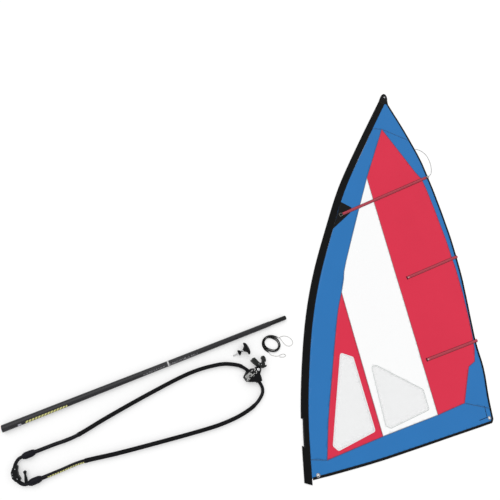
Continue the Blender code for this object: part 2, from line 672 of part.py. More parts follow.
for number, (inner, outer) in enumerate(BATTENS, start=1):
    start = Vector(inner)
    end = Vector(outer)
    length = (end - start).length
    lie = CLOTH + GAP + (PATCH + GAP if number == 1 else 0.0)
    run = math.atan2(end.y - start.y, end.x - start.x)
    line = anchor(f"batten_line_{number}", (start.x, start.y, lie), sail, (0.0, 0.0, run))
    pocket = block(f"batten_pocket_{number}", (length, POCKET_WIDTH, POCKET_HEIGHT), line, "pocket_cloth",
                   (length / 2, 0.0, POCKET_HEIGHT / 2))
    channel = block(f"channel_{number}", (2 * length, POCKET_CHANNEL, 2 * POCKET_HOLLOW), line, "pocket_cloth",
                    (length / 2, 0.0, 0.0))
    cut(pocket, channel)
    rod_end = length + TIP_SEAT if number == 1 else length - BATTEN_SETBACK
    rod(f"batten_{number}", BATTEN_DIAMETER / 2, rod_end - BATTEN_SETBACK, line, "batten_rod",
        ((rod_end + BATTEN_SETBACK) / 2, 0.0, BATTEN_DIAMETER / 2 + GAP), (0.0, math.pi / 2, 0.0), sides=12)
    if number == 1:
        cap_bottom = -PATCH - GAP
        cap = block("batten_tip", (TIP_LENGTH, TIP_WIDTH, TIP_HEIGHT - cap_bottom), line, "grey_plastic",
                    (length + GAP + TIP_LENGTH / 2, 0.0, (TIP_HEIGHT + cap_bottom) / 2), edge=0.003)
        cut(cap, rod("tip_bore", BATTEN_DIAMETER / 2 + GAP, 2 * (TIP_SEAT + GAP), line, "grey_plastic",
                     (length, 0.0, BATTEN_DIAMETER / 2 + GAP), (0.0, math.pi / 2, 0.0), sides=12))
        block("tension_strap", (STRAP_LENGTH, STRAP_WIDTH, STRAP_THICKNESS), line, "black_tape",
              (-GAP - STRAP_LENGTH / 2, 0.0, STRAP_THICKNESS / 2))
        buckle_lie = STRAP_THICKNESS + GAP + BUCKLE_HEIGHT / 2
        hinge = anchor("buckle_hinge", (-GAP - BUCKLE_SETBACK, 0.0, buckle_lie), line)
        inner_size = (BUCKLE_LENGTH - 2 * BUCKLE_BAR, BUCKLE_WIDTH - 2 * BUCKLE_BAR, 4 * BUCKLE_HEIGHT)
        buckle = block("tension_buckle", (BUCKLE_LENGTH, BUCKLE_WIDTH, BUCKLE_HEIGHT), hinge, "grey_plastic",
                       (BUCKLE_BAR / 2 - BUCKLE_LENGTH / 2, 0.0, 0.0), edge=0.001)
        cut(buckle, block("buckle_window", inner_size, hinge, "grey_plastic",
                          (BUCKLE_BAR / 2 - BUCKLE_LENGTH / 2, 0.0, 0.0)))

tip_start = Vector(BATTENS[0][0])
tip_end = Vector(BATTENS[0][1])
tip_way = (tip_end - tip_start).normalized()
cord_lie = CLOTH + LEECH_CORD_RISE
cord_out = [tip_end + tip_way * (TIP_LENGTH + 2 * GAP), tip_end + tip_way * (TIP_LENGTH + LEECH_CORD_DIAMETER)]
cord_in = [off_leech(LEECH_CORD_LEVEL, LEECH_CORD_LEAD), off_leech(LEECH_CORD_LEVEL, GAP / 2)]
leech_cord = [Vector((*p, cord_lie)) for p in cord_out] + [Vector(p) for p in LEECH_CORD]
leech_cord += [Vector((*p, LEECH_CORD_DIAMETER / 2)) for p in cord_in]
cord_line = [Vector((p.x, p.y, max(p.z, LEECH_CORD_DIAMETER / 2))) for p in even(smooth(leech_cord), 34)]
tube("leech_cord", cord_line, LEECH_CORD_DIAMETER / 2, sail, "pale_line", resolution=1)


# Mast

def beside_mast(back, distance):
    """A floor point so far back from the mast's tip, and so far from its side."""
    along = Vector((math.cos(MAST_ANGLE), math.sin(MAST_ANGLE)))
    aside = Vector((along.y, -along.x))
    return Vector(MAST_TIP_AT) - along * back + aside * (MAST_DIAMETER / 2 + distance)


mast_drop = math.asin((MAST_BUTT_DIAMETER - MAST_DIAMETER) / 2 / MAST_LENGTH)
mast_along = Vector((math.cos(MAST_ANGLE), math.sin(MAST_ANGLE)))
butt_at = Vector(MAST_TIP_AT) - mast_along * (MAST_LENGTH + FERRULE_LENGTH)
mast = anchor("mast", (butt_at.x, butt_at.y, MAST_BUTT_DIAMETER / 2), turn=(0.0, mast_drop, MAST_ANGLE))
mast_line = (0.0, math.pi / 2, 0.0)
mast_radius = MAST_DIAMETER / 2
butt_radius = MAST_BUTT_DIAMETER / 2
turned("mast_tube", [(mast_radius, MAST_LENGTH), (mast_radius, MAST_TAPER_LENGTH), (butt_radius, 0.0),
                     (butt_radius - MAST_WALL, 0.0), (mast_radius - MAST_WALL, MAST_TAPER_LENGTH),
                     (mast_radius - MAST_WALL, MAST_LENGTH)],
       mast, "carbon", turn=mast_line, closed=True, sides=32)
seat_radius = mast_radius - MAST_WALL - SLIDE_GAP
ferrule_radius = FERRULE_DIAMETER / 2
ferrule_end = MAST_LENGTH + FERRULE_LENGTH
bore_radius = seat_radius - FERRULE_WALL
turned("mast_ferrule", [(bore_radius, ferrule_end), (ferrule_radius - FERRULE_CHAMFER[0], ferrule_end),
                        (ferrule_radius, ferrule_end - FERRULE_CHAMFER[1]),
                        (ferrule_radius, MAST_LENGTH + GAP), (seat_radius, MAST_LENGTH + GAP),
                        (seat_radius, MAST_LENGTH - FERRULE_SEAT), (bore_radius, MAST_LENGTH - FERRULE_SEAT)],
       mast, "carbon", turn=mast_line, closed=True, sides=32)
ring_inner = mast_radius + GAP
ring_outer = ring_inner + RING_THICKNESS
ring_from = MAST_TAPER_LENGTH + RING_AFTER_TAPER
ring_to = ring_from + RING_WIDTH
ring_profile = [(ring_inner, ring_to), (ring_outer, ring_to), (ring_outer, ring_from), (ring_inner, ring_from)]
turned("mast_ring", ring_profile, mast, "grey_plastic", turn=mast_line, closed=True, sides=32)


# Boom

def side_points(points, z=0.0):
    """Points of an arm, given as distance behind the head and distance to the side, in the boom's own frame."""
    return [Vector((-back, side, z)) for back, side in points]


def arm_route(points, end, spread):
    """A straight rear stretch and a smooth bow to the head."""
    rear = [(ARM_REACH, spread), (ARM_REACH - ARM_STRAIGHT / 2, spread), (ARM_REACH - ARM_STRAIGHT, spread)]
    bow = smooth(side_points(rear[1:] + list(points) + [end]), 4)
    return side_points(rear[:1]) + bow


arm_widest = max(side for back, side in UPPER_ARM)
head_at = beside_mast(HEAD_BACK, MAST_TO_BOOM + ARM_DIAMETER / 2 + arm_widest)
boom = anchor("boom", (head_at.x, head_at.y, BOOM_HEIGHT), turn=(0.0, 0.0, BOOM_ANGLE))
ARMS = {"upper": (UPPER_ARM, UPPER_ARM_END, 1.0), "lower": (LOWER_ARM, LOWER_ARM_END, -1.0)}
ARM_SIDES = 3
SOCKET_POINTS = 11
socket_cutters = []
for name, (points, end, side) in ARMS.items():
    route = arm_route(points, end, side * REAR_SPREAD)
    arm = solid(tube(f"boom_arm_{name}", route, ARM_DIAMETER / 2, boom, "black_alloy", ARM_SIDES))
    bore = rod(f"bore_{name}", ARM_BORE / 2, 2 * ARM_STRAIGHT, boom, "black_alloy",
               (-ARM_REACH, side * REAR_SPREAD, 0.0), (0.0, math.pi / 2, 0.0))
    cut(arm, bore)
    grip_route = [p for p in route if -GRIP_START <= p.x <= -GRIP_END]
    grip_radius = (ARM_DIAMETER / 2 + SLIDE_GAP) + GRIP_THICKNESS
    grip = tube(f"boom_grip_{name}", grip_route, grip_radius, boom, "grip_foam", ARM_SIDES, caps=False)
    skin = grip.modifiers.new("Solidify", "SOLIDIFY")
    skin.thickness = GRIP_THICKNESS
    skin.offset = -1.0
    plug = route[-SOCKET_POINTS:]
    socket = tube(f"socket_{name}", plug, ARM_DIAMETER / 2 + GAP, boom, "black_alloy", ARM_SIDES)
    socket_cutters.append(solid(socket))

# Clips at the arms' rear ends, each a turned collar with a lever in a recess on its outer side

clip_radius = CLIP_DIAMETER / 2
along_boom = (0.0, math.pi / 2, 0.0)
for name, (points, end, side) in ARMS.items():
    stand = anchor(f"clip_stand_{name}", (-ARM_REACH, side * REAR_SPREAD, 0.0), boom)
    arm_bore = ARM_DIAMETER / 2 + GAP
    leg_bore = LEG_DIAMETER / 2 + SLIDE_GAP
    collar = turned(f"boom_clip_{name}", [
        (CLIP_NECK / 2, CLIP_SEAT), (clip_radius, CLIP_FULL[0]), (clip_radius, CLIP_FULL[1]),
        (CLIP_NECK / 2, -CLIP_TAIL), (leg_bore, -CLIP_TAIL), (leg_bore, -GAP), (arm_bore, -GAP),
        (arm_bore, CLIP_SEAT)], stand, "black_plastic", turn=along_boom, closed=True)
    lever_side = side * (LEVER_SEAT + LEVER_THICKNESS / 2)
    heel = LEVER_THICKNESS / 2
    recess_front = LEVER_PIVOT + heel + 2 * ROLLER_ROOM
    recess_back = LEVER_PIVOT - LEVER_LENGTH - 2 * ROLLER_ROOM
    recess_size = (recess_front - recess_back, clip_radius, LEVER_HEIGHT + 2 * SLIDE_GAP)
    recess_at = ((recess_front + recess_back) / 2, side * (LEVER_SEAT - GAP + clip_radius / 2), 0.0)
    recess = block(f"lever_recess_{name}", recess_size, stand, "black_plastic", recess_at)
    hole = rod(f"lever_hole_{name}", LEVER_PIN_RADIUS + SLIDE_GAP, 2 * LEVER_PIN_LENGTH, stand, "steel",
               (LEVER_PIVOT, lever_side, 0.0), sides=12)
    cut(collar, recess, hole)
    hinge = anchor(f"lever_hinge_{name}", (LEVER_PIVOT, lever_side, 0.0), stand)
    heel_arc = [Vector((heel * math.cos(a), heel * math.sin(a))) for a in
                (math.radians(90 - 30 * k) for k in range(7))]
    tip = [Vector((heel - LEVER_LENGTH, -side * heel)), Vector((-LEVER_LENGTH, side * heel))]
    outline = [Vector((p.x, side * p.y)) for p in heel_arc] + tip
    lever = plate(f"boom_lever_{name}", [outline], -LEVER_HEIGHT / 2, LEVER_HEIGHT, hinge, "black_plastic")
    lever = solid(lever)
    join(lever, rod(f"lever_pin_{name}", LEVER_PIN_RADIUS, LEVER_PIN_LENGTH, hinge, "black_plastic", sides=12))


# Tail: two legs that slide in the arms, an end moulding with two rollers, and a cleat on the lower leg

tail = anchor("boom_tail", (-ARM_REACH, 0.0, 0.0), boom)
leg_cutters = []
for name, (points, end, side) in ARMS.items():
    straight = [(-LEG_OVERLAP, side * REAR_SPREAD), (LEG_BEND[0][0] / 2, side * REAR_SPREAD)]
    bend = [(back, side * spread) for back, spread in LEG_BEND]
    route = side_points(straight) + smooth(side_points(bend), 3)
    tube(f"tail_leg_{name}", route, LEG_DIAMETER / 2, tail, "black_alloy", ARM_SIDES)
    socket = tube(f"leg_socket_{name}", route[1:], LEG_DIAMETER / 2 + GAP, tail, "black_alloy", ARM_SIDES)
    leg_cutters.append(solid(socket))
tail_outline = rounded(side_points(TAIL_END_OUTLINE), TAIL_END_CORNER, 1)
tail_end = plate("tail_end", [tail_outline], -TAIL_END_HEIGHT / 2, TAIL_END_HEIGHT, tail, "black_plastic")
tail_end = solid(tail_end)
slot_width = 2 * (ROLLER_SPREAD + ROLLER_DIAMETER / 2 + ROLLER_ROOM)
slot_front = ROLLER_BACK - ROLLER_DIAMETER / 2 - ROLLER_ROOM
slot = block("roller_slot", (SLOT_DEPTH, slot_width, ROLLER_WIDTH + 2 * SLIDE_GAP), tail, "black_plastic",
             (-slot_front - SLOT_DEPTH / 2, 0.0, 0.0))
roller_places = {name: (-ROLLER_BACK, side * ROLLER_SPREAD, 0.0) for name, (points, end, side) in ARMS.items()}
pin_holes = [rod(f"roller_hole_{name}", ROLLER_PIN_RADIUS + GAP, 2 * TAIL_END_HEIGHT, tail, "steel", place,
                 sides=16) for name, place in roller_places.items()]
cut(tail_end, *leg_cutters, slot, *pin_holes)
for name, place in roller_places.items():
    axle = anchor(f"roller_axle_{name}", place, tail)
    rim = ROLLER_DIAMETER / 2
    half = ROLLER_WIDTH / 2
    bore = ROLLER_PIN_RADIUS + SLIDE_GAP
    cheek, groove = ROLLER_GROOVE
    turned(f"tail_roller_{name}", [(bore, half), (rim, half), (rim, half - cheek), (rim - groove, 0.0),
                                   (rim, cheek - half), (rim, -half), (bore, -half)],
           axle, "grey_plastic", closed=True, sides=20)
bridge_top = -TAIL_END_HEIGHT / 2 - GAP
pin_bottom = bridge_top - BRIDGE_HEIGHT / 2
pin_height = TAIL_END_HEIGHT / 2 - pin_bottom
pin_middle = pin_bottom + pin_height / 2
pins = [rod(f"roller_pin_{name}", ROLLER_PIN_RADIUS, pin_height, tail, "steel",
            (place[0], place[1], pin_middle), sides=16) for name, place in roller_places.items()]
bridge_size = (2 * ROLLER_PIN_RADIUS, 2 * (ROLLER_SPREAD + ROLLER_PIN_RADIUS), BRIDGE_HEIGHT)
staple = block("roller_staple", bridge_size, tail, "steel", (-ROLLER_BACK, 0.0, pin_bottom))
join(staple, *pins)
cleat_outline = rounded(side_points(CLEAT_OUTLINE), CLEAT_CORNER, 2)
cleat = solid(plate("tail_cleat", [cleat_outline], -CLEAT_HEIGHT / 2, CLEAT_HEIGHT, tail, "black_plastic"))
cut(cleat, leg_cutters[1])


# Head: a yoke that both arms plug into, with a fork that the clamp's tongue swivels in

bolt_at = Vector((BOLT_AHEAD, BOLT_SIDE, 0.0))
fork_end = [bolt_at + Vector((FORK_RADIUS * math.cos(a), FORK_RADIUS * math.sin(a), 0.0)) for a in
            (FORK_ANGLE + math.radians(-90 + 18 * k) for k in range(11))]
outline = side_points(YOKE_OUTLINE) + fork_end + side_points(YOKE_BACK)
yoke = solid(plate("head_yoke", [outline], -BOOM_HEIGHT, 2 * BOOM_HEIGHT, boom, "black_plastic"))
fork_slot = rod("fork_slot", FORK_ROOM, TONGUE_HEIGHT + 2 * SLIDE_GAP, boom, "black_plastic", bolt_at, sides=32)
bolt_hole = rod("bolt_hole", BOLT_RADIUS + GAP, 4 * BOOM_HEIGHT, boom, "black_plastic", bolt_at)
cut(yoke, *socket_cutters, fork_slot, bolt_hole)

clamp = anchor("clamp_swivel", bolt_at, boom, (0.0, 0.0, CLAMP_ANGLE))
clamp_bottom = CLAMP_FLOOR_GAP - BOOM_HEIGHT
bore_at = Vector((CLAMP_BORE_AT, 0.0))
jaw_pivot = Vector(JAW_PIVOT)


def about_bore(radius, angle):
    return Vector((bore_at.x + radius * math.cos(angle), radius * math.sin(angle)))


def arc(radius, start, end, count):
    return [about_bore(radius, start + (end - start) * k / (count - 1)) for k in range(count)]


finger_root = about_bore(CLAMP_BORE_RADIUS, BORE_TO)
finger_out = (finger_root - bore_at).normalized()
finger_tip = finger_root + Vector((finger_out.y, -finger_out.x)) * FINGER_LENGTH
lug = [Vector((jaw_pivot.x + KNUCKLE_RADIUS * math.cos(a), jaw_pivot.y + KNUCKLE_RADIUS * math.sin(a)))
       for a in (math.radians(-90 + 25 * k) for k in range(6))]
outline = ([Vector((CLAMP_BODY_START, CLAMP_START_HALF)), Vector((CLAMP_BODY_START, -CLAMP_START_HALF)),
            *[Vector(p) for p in CLAMP_SHOULDER]] + lug
           + arc(CLAMP_BORE_RADIUS, BORE_FROM, BORE_TO, 8)
           + [finger_tip, finger_tip + finger_out * FINGER_THICKNESS])
body = solid(plate("clamp_body", [outline], clamp_bottom, CLAMP_HEIGHT, clamp, "black_plastic"))
tongue_reach = CLAMP_BODY_START + BOLT_RADIUS
tongue_start = math.asin(TONGUE_HALF_WIDTH / TONGUE_RADIUS)
tongue_outline = [Vector((TONGUE_RADIUS * math.cos(a), TONGUE_RADIUS * math.sin(a))) for a in
                  (tongue_start + (math.tau - 2 * tongue_start) * k / 16 for k in range(17))]
tongue_outline += [Vector((tongue_reach, -TONGUE_HALF_WIDTH)), Vector((tongue_reach, TONGUE_HALF_WIDTH))]
tongue = solid(plate("tongue", [tongue_outline], -TONGUE_HEIGHT / 2, TONGUE_HEIGHT, clamp, "black_plastic"))
join(body, tongue)
knuckle_room = rod("knuckle_room", KNUCKLE_ROOM, KNUCKLE_HEIGHT + 2 * SLIDE_GAP, clamp, "black_plastic",
                   (*jaw_pivot, 0.0))
jaw_hole = rod("jaw_hole", JAW_PIN_RADIUS + SLIDE_GAP, 2 * CLAMP_HEIGHT, clamp, "black_plastic",
               (*jaw_pivot, 0.0), sides=16)
tongue_hole = rod("tongue_hole", BOLT_RADIUS + GAP, 2 * CLAMP_HEIGHT, clamp, "black_plastic")
cut(body, knuckle_room, jaw_hole, tongue_hole)

jaw_hinge = anchor("jaw_hinge", (*jaw_pivot, 0.0), clamp)
jaw_outline = (arc(CLAMP_BORE_RADIUS, JAW_FROM, JAW_TO, 8)
               + arc(CLAMP_BORE_RADIUS + JAW_THICKNESS, JAW_TO + JAW_HEEL, JAW_FROM, 8))
jaw = solid(plate("clamp_jaw", [[p - jaw_pivot for p in jaw_outline]], clamp_bottom, CLAMP_HEIGHT, jaw_hinge,
                  "black_plastic"))
neck_end = about_bore(CLAMP_BORE_RADIUS + JAW_THICKNESS / 2, JAW_NECK) - jaw_pivot
neck_along = neck_end.normalized()
neck_side = Vector((-neck_along.y, neck_along.x)) * JAW_NECK_HALF
neck_outline = [neck_side, neck_end + neck_side, neck_end - neck_side, -neck_side]
neck = solid(plate("jaw_neck", [neck_outline], -KNUCKLE_HEIGHT / 2, KNUCKLE_HEIGHT, jaw_hinge, "black_plastic"))
knuckle = rod("jaw_knuckle", KNUCKLE_RADIUS, KNUCKLE_HEIGHT, jaw_hinge, "black_plastic")
jaw_pin = rod("jaw_pin", JAW_PIN_RADIUS, CLAMP_HEIGHT, jaw_hinge, "black_plastic",
              (0.0, 0.0, clamp_bottom + CLAMP_HEIGHT / 2), sides=16)
join(jaw, neck, knuckle, jaw_pin)

bolt_foot = clamp_bottom + GAP
head_top = BOOM_HEIGHT + GAP + BOLT_HEAD_HEIGHT
turned("head_bolt", [(0.0, head_top), (BOLT_HEAD_RADIUS - BOLT_EDGE, head_top),
                     (BOLT_HEAD_RADIUS, head_top - BOLT_EDGE),
                     (BOLT_HEAD_RADIUS, BOOM_HEIGHT + GAP), (BOLT_RADIUS, BOOM_HEIGHT + GAP),
                     (BOLT_RADIUS, bolt_foot), (0.0, bolt_foot)], clamp, "steel")

front, back = side_points([HEAD_LINE_FRONT, HEAD_LINE_BACK], BOOM_HEIGHT + HEAD_LINE_DIAMETER / 2 + GAP)
along = (back - front).normalized()
aside = Vector((-along.y, along.x, 0.0))
head_line = []
for run in range(HEAD_LINE_RUNS):
    away = 1.0 if run % 2 == 0 else -1.0
    lane = aside * HEAD_LINE_PITCH * ((HEAD_LINE_RUNS - 1) / 2 - run)
    head_line += [(front if away > 0 else back) + lane, (back if away > 0 else front) + lane]
    if run < HEAD_LINE_RUNS - 1:
        middle = head_line[-1] - aside * HEAD_LINE_PITCH / 2
        head_line += [middle + (aside * math.cos(a) + along * away * math.sin(a)) * HEAD_LINE_PITCH / 2
                      for a in (math.radians(30 * k) for k in range(1, 6))]
tube("head_line", head_line, HEAD_LINE_DIAMETER / 2, boom, "flecked_rope", resolution=1)


# Mast foot: it lies on the disc's rim and the pin's tip, so its slope follows from their radii

foot_slope = math.atan2(DISC_RADIUS - PIN_RADIUS, RIM_AT - DISC_EDGE)
foot_at = beside_mast(FOOT_BACK, FOOT_TO_MAST)
foot_height = PIN_RADIUS * math.cos(foot_slope)
foot = anchor("foot", (foot_at.x, foot_at.y, foot_height), turn=(0.0, -foot_slope, FOOT_ANGLE))
along_foot = (0.0, math.pi / 2, 0.0)
joint = anchor("foot_joint", (JOINT_AT, 0.0, 0.0), foot)
hub_from = JOINT_AT + JOINT_HALF
hub_face = RIM_AT - DISC_EDGE
bolt_face = RIM_AT + DISC_CROWN - BOLT_SINK
turned("deck_disc", [
    (HUB_BORE + GAP, RIM_AT + DISC_CROWN), (DISC_FLAT_RADIUS, RIM_AT + DISC_CROWN),
    (DISC_SHOULDER, RIM_AT + DISC_SHOULDER_RISE), (DISC_RADIUS - DISC_ROUND[0], RIM_AT),
    (DISC_RADIUS - PIN_STEP, RIM_AT - DISC_ROUND[1]), (DISC_RADIUS, hub_face),
    (HUB_RADIUS + HUB_STEP[1], hub_face), (HUB_RADIUS + HUB_STEP[0], hub_face + GAP),
    (HUB_BORE + GAP, hub_face + GAP)], foot, "rubber", turn=along_foot, closed=True, sides=32)
hub = turned("deck_hub", [
    (0.0, bolt_face), (HUB_BORE, bolt_face), (HUB_BORE, hub_face), (HUB_RADIUS, hub_face),
    (HUB_RADIUS - HUB_CHAMFER[0], hub_face - HUB_CHAMFER[1]), (NECK_RADIUS, hub_from), (0.0, hub_from)],
    foot, "black_plastic", turn=along_foot)


def fork_ears(base, length, lift, parent, material, turn):
    """Two ears with round ends about the joint's centre, and a hole through both for a cross pin."""
    ears = []
    for number, side in enumerate((1.0, -1.0)):
        thickness = EAR_OUTER - EAR_INNER
        reach = EAR_HALF_WIDTH
        arc_points = [Vector((-reach * math.cos(a) * lift, reach * math.sin(a))) for a in
                      (math.radians(-90 + 30 * k) for k in range(7))]
        outline = arc_points + [Vector((lift * length, reach)), Vector((lift * length, -reach))]
        bottom = side * (EAR_INNER + EAR_OUTER) / 2 - thickness / 2
        ear = solid(plate(f"{base.name}_ear_{number}", [outline], bottom, thickness, parent, material))
        ears.append(ear)
        ear.matrix_basis = Matrix.Rotation(turn, 4, "X") @ ear.matrix_basis
    join(base, *ears)
    drill = rod(f"{base.name}_drill", CROSS_PIN_RADIUS + GAP, 4 * EAR_OUTER, parent, material,
                turn=(turn, 0.0, 0.0), sides=12)
    cut(base, drill)


ear_length = JOINT_HALF + EAR_SINK
fork_ears(hub, ear_length, 1.0, joint, "black_plastic", math.pi / 2)
cross = block("joint_cross", (2 * EAR_INNER - 2 * GAP,) * 3, joint, "steel")
pin_length = 2 * EAR_OUTER
side_turn = (math.pi / 2, 0.0, 0.0)
side_pin = rod("cross_pin_side", CROSS_PIN_RADIUS, pin_length, joint, "steel", turn=side_turn, sides=12)
join(cross, side_pin, rod("cross_pin_up", CROSS_PIN_RADIUS, pin_length, joint, "steel", sides=12))

cup_swivel = anchor("cup_swivel", (0.0, 0.0, 0.0), joint)
cup_face = CUP_AT - JOINT_AT
shank = PIN_RADIUS - PIN_STEP
cup = turned("mast_cup", [
    (0.0, -JOINT_HALF), (NECK_RADIUS, -JOINT_HALF), (CUP_RADIUS, cup_face + CUP_LIP), (CUP_RADIUS, cup_face),
    (shank + GAP, cup_face), (shank + GAP, cup_face + PIN_SEAT), (0.0, cup_face + PIN_SEAT)],
    cup_swivel, "black_plastic", turn=along_foot)
fork_ears(cup, ear_length, -1.0, cup_swivel, "black_plastic", 0.0)
shank_end = CUP_AT + PIN_SEAT - GAP
groove_radius = PIN_RADIUS - PIN_GROOVE_DEPTH
turned("cup_pin", [
    (0.0, shank_end), (shank, shank_end), (shank, CUP_AT - GAP), (PIN_RADIUS, CUP_AT - GAP),
    (PIN_RADIUS, PIN_GROOVE[3]), (groove_radius, PIN_GROOVE[2]), (groove_radius, PIN_GROOVE[1]),
    (PIN_RADIUS, PIN_GROOVE[0]), (PIN_RADIUS, 0.0), (0.0, 0.0)],
    anchor("pin_spin", (0.0, 0.0, 0.0), foot), "steel", turn=along_foot, sides=20)


# Uphaul rope

coil_at = beside_mast(COIL_BACK, COIL_TO_MAST + COIL_RADIUS)
coil = anchor("coil", (coil_at.x, coil_at.y, 0.0))
rope_radius = ROPE_DIAMETER / 2


def coil_point(turn):
    """In along the lower layer, up a layer in the half turn round the middle, and out again on top."""
    middle = COIL_TURNS / 2
    rise = min(max(turn - middle + 0.25, 0.0), 0.5) * 2
    height = rope_radius + COIL_LAYER * rise * rise * (3 - 2 * rise)
    angle = COIL_START_ANGLE - math.tau * turn
    oval = 1 - COIL_OVAL + COIL_OVAL * math.cos(2 * (angle - COIL_OVAL_ANGLE))
    pitch = COIL_PITCH * (1 - COIL_GATHER * math.cos(2 * (angle - COIL_GATHER_ANGLE)))
    radius = COIL_RADIUS * oval - rope_radius - pitch * min(turn, COIL_TURNS - turn)
    return Vector((radius * math.cos(angle), radius * math.sin(angle), height))


def end_on(tip, before, length):
    """A point straight on from the end of a route."""
    way = tip - before
    way.z = 0.0
    return tip + way.normalized() * length


coil_steps = round(COIL_TURNS * LOOP_POINTS)
loops = [coil_point(COIL_TURNS * k / coil_steps) for k in range(coil_steps + 1)]
rope_start = end_on(loops[0], loops[1], ROPE_DIAMETER)
rope_end = end_on(loops[-1], loops[-2], ROPE_DIAMETER)
least = min((p - q).length for k, p in enumerate(loops) for q in loops[k + LOOP_POINTS // 2:])
print(f"least gap between the coil's turns: {(least - ROPE_DIAMETER) * 1000:.2f} mm")
tube("uphaul_rope", [rope_start] + loops + [rope_end], rope_radius, coil, "black_rope", resolution=1)
loop_start = end_on(rope_end, loops[-1], GAP)
loop_lead = end_on(rope_end, loops[-1], 2 * THIN_LINE)
thin_loop = [loop_start, loop_lead] + [Vector(p) for p in THIN_LOOP]
tail_start = end_on(rope_start, loops[0], GAP)
tail_lead = end_on(rope_start, loops[0], 2 * THIN_LINE)
thin_tail = [tail_start, tail_lead] + [Vector(p) for p in THIN_TAIL]
for name, route, count in (("uphaul_loop", thin_loop, 40), ("uphaul_tail", thin_tail, 32)):
    route = [Vector((p.x, p.y, max(p.z, FLOOR_LINE))) for p in even(smooth(route), count)]
    tube(name, route, THIN_LINE / 2, coil, "pale_line", resolution=1)

for made in parts.objects:
    if made.type == "MESH":
        made.data.shade_smooth()
        made.data.set_sharp_from_angle(angle=math.radians(35))
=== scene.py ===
# A windsurf rig laid out on the floor: the sail, the lower mast section, the wishbone boom, the mast foot and
# the uphaul rope. Metres, +Z up. Each section makes one piece or one group of like pieces.

import json
import math

import bmesh
import bpy
from mathutils import Matrix, Vector

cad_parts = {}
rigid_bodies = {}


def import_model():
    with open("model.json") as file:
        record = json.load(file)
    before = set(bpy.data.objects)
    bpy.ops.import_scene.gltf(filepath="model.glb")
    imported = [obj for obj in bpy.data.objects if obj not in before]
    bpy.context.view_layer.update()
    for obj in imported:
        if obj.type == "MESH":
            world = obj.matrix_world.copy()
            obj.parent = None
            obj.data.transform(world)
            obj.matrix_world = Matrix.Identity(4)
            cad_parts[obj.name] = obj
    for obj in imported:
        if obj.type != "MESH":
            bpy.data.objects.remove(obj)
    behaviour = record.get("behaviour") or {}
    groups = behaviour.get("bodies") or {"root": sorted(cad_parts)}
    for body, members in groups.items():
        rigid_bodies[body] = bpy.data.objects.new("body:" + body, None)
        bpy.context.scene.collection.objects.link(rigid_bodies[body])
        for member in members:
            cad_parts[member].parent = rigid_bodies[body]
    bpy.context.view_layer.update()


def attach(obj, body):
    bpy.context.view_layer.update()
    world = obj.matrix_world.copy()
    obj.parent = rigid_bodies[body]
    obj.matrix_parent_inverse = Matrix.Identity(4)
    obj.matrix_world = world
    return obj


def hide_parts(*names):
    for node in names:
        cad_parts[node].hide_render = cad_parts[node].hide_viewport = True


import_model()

# It is turned so that the floor's X runs to the right in the picture and its Y upward.

camera_distance = 4.519
look_at = Vector((-0.268, 0.024, 0.0))
camera_right = Vector((0.9568, -0.0432, 0.2876))
camera_up = Vector((-0.0432, 0.9568, 0.2876))
camera_back = Vector((-0.2876, -0.2876, 0.9135))
camera_data = bpy.data.cameras.new("camera")
camera_data.sensor_width = 36.0
camera_data.lens = 32.4
camera_data.clip_end = 60.0
camera = bpy.data.objects.new("camera", camera_data)
bpy.context.scene.collection.objects.link(camera)
camera_turn = Matrix((camera_right, camera_up, camera_back)).transposed().to_4x4()
camera.matrix_world = Matrix.Translation(look_at + camera_back * camera_distance) @ camera_turn
bpy.context.scene.camera = camera

# Studio: a pale floor, an even pale room, and one very broad lamp from the upper left. The floor shows a little
# brighter to the camera and in reflections, and keeps the shadows.

bpy.context.scene.view_settings.view_transform = "Standard"
room = bpy.data.worlds.new("studio")
bpy.context.scene.world = room
room.use_nodes = True
room_light = room.node_tree.nodes["Background"]
room_light.inputs["Color"].default_value = (1.0, 1.0, 1.0, 1.0)
room_light.inputs["Strength"].default_value = 0.70
lamp_data = bpy.data.lights.new("broad_lamp", "SUN")
lamp_data.energy = 1.08
lamp_data.angle = math.radians(50)
lamp = bpy.data.objects.new("broad_lamp", lamp_data)
lamp.rotation_euler = (math.radians(-24), math.radians(-20), 0.0)
bpy.context.scene.collection.objects.link(lamp)

bpy.ops.object.select_all(action="DESELECT")
bpy.ops.mesh.primitive_plane_add(size=40.0, location=(0.0, 0.0, -0.0004))
floor = bpy.context.object
floor.name = "floor"
floor_paint = bpy.data.materials.new("floor_paint")
floor_paint.use_nodes = True
floor_shader = floor_paint.node_tree.nodes["Principled BSDF"]
floor_shader.inputs["Base Color"].default_value = (0.72, 0.72, 0.72, 1.0)
floor_shader.inputs["Roughness"].default_value = 0.9
floor_shader.inputs["Specular IOR Level"].default_value = 0.1
floor_shader.inputs["Emission Color"].default_value = (1.0, 1.0, 1.0, 1.0)
eye_ray = floor_paint.node_tree.nodes.new("ShaderNodeLightPath")
eye_or_mirror = floor_paint.node_tree.nodes.new("ShaderNodeMath")
eye_or_mirror.operation = "MAXIMUM"
glow = floor_paint.node_tree.nodes.new("ShaderNodeMath")
glow.operation = "MULTIPLY"
glow.inputs[1].default_value = 0.32
floor_paint.node_tree.links.new(eye_ray.outputs["Is Camera Ray"], eye_or_mirror.inputs[0])
floor_paint.node_tree.links.new(eye_ray.outputs["Is Glossy Ray"], eye_or_mirror.inputs[1])
floor_paint.node_tree.links.new(eye_or_mirror.outputs[0], glow.inputs[0])
floor_paint.node_tree.links.new(glow.outputs[0], floor_shader.inputs["Emission Strength"])
floor.data.materials.append(floor_paint)

# Uphaul rope: 10 mm braided polyester with a soft core, wound by hand into a coil of three and a half turns.
# A thin line is spliced into each end: one makes the handle loop, the other the small eye.


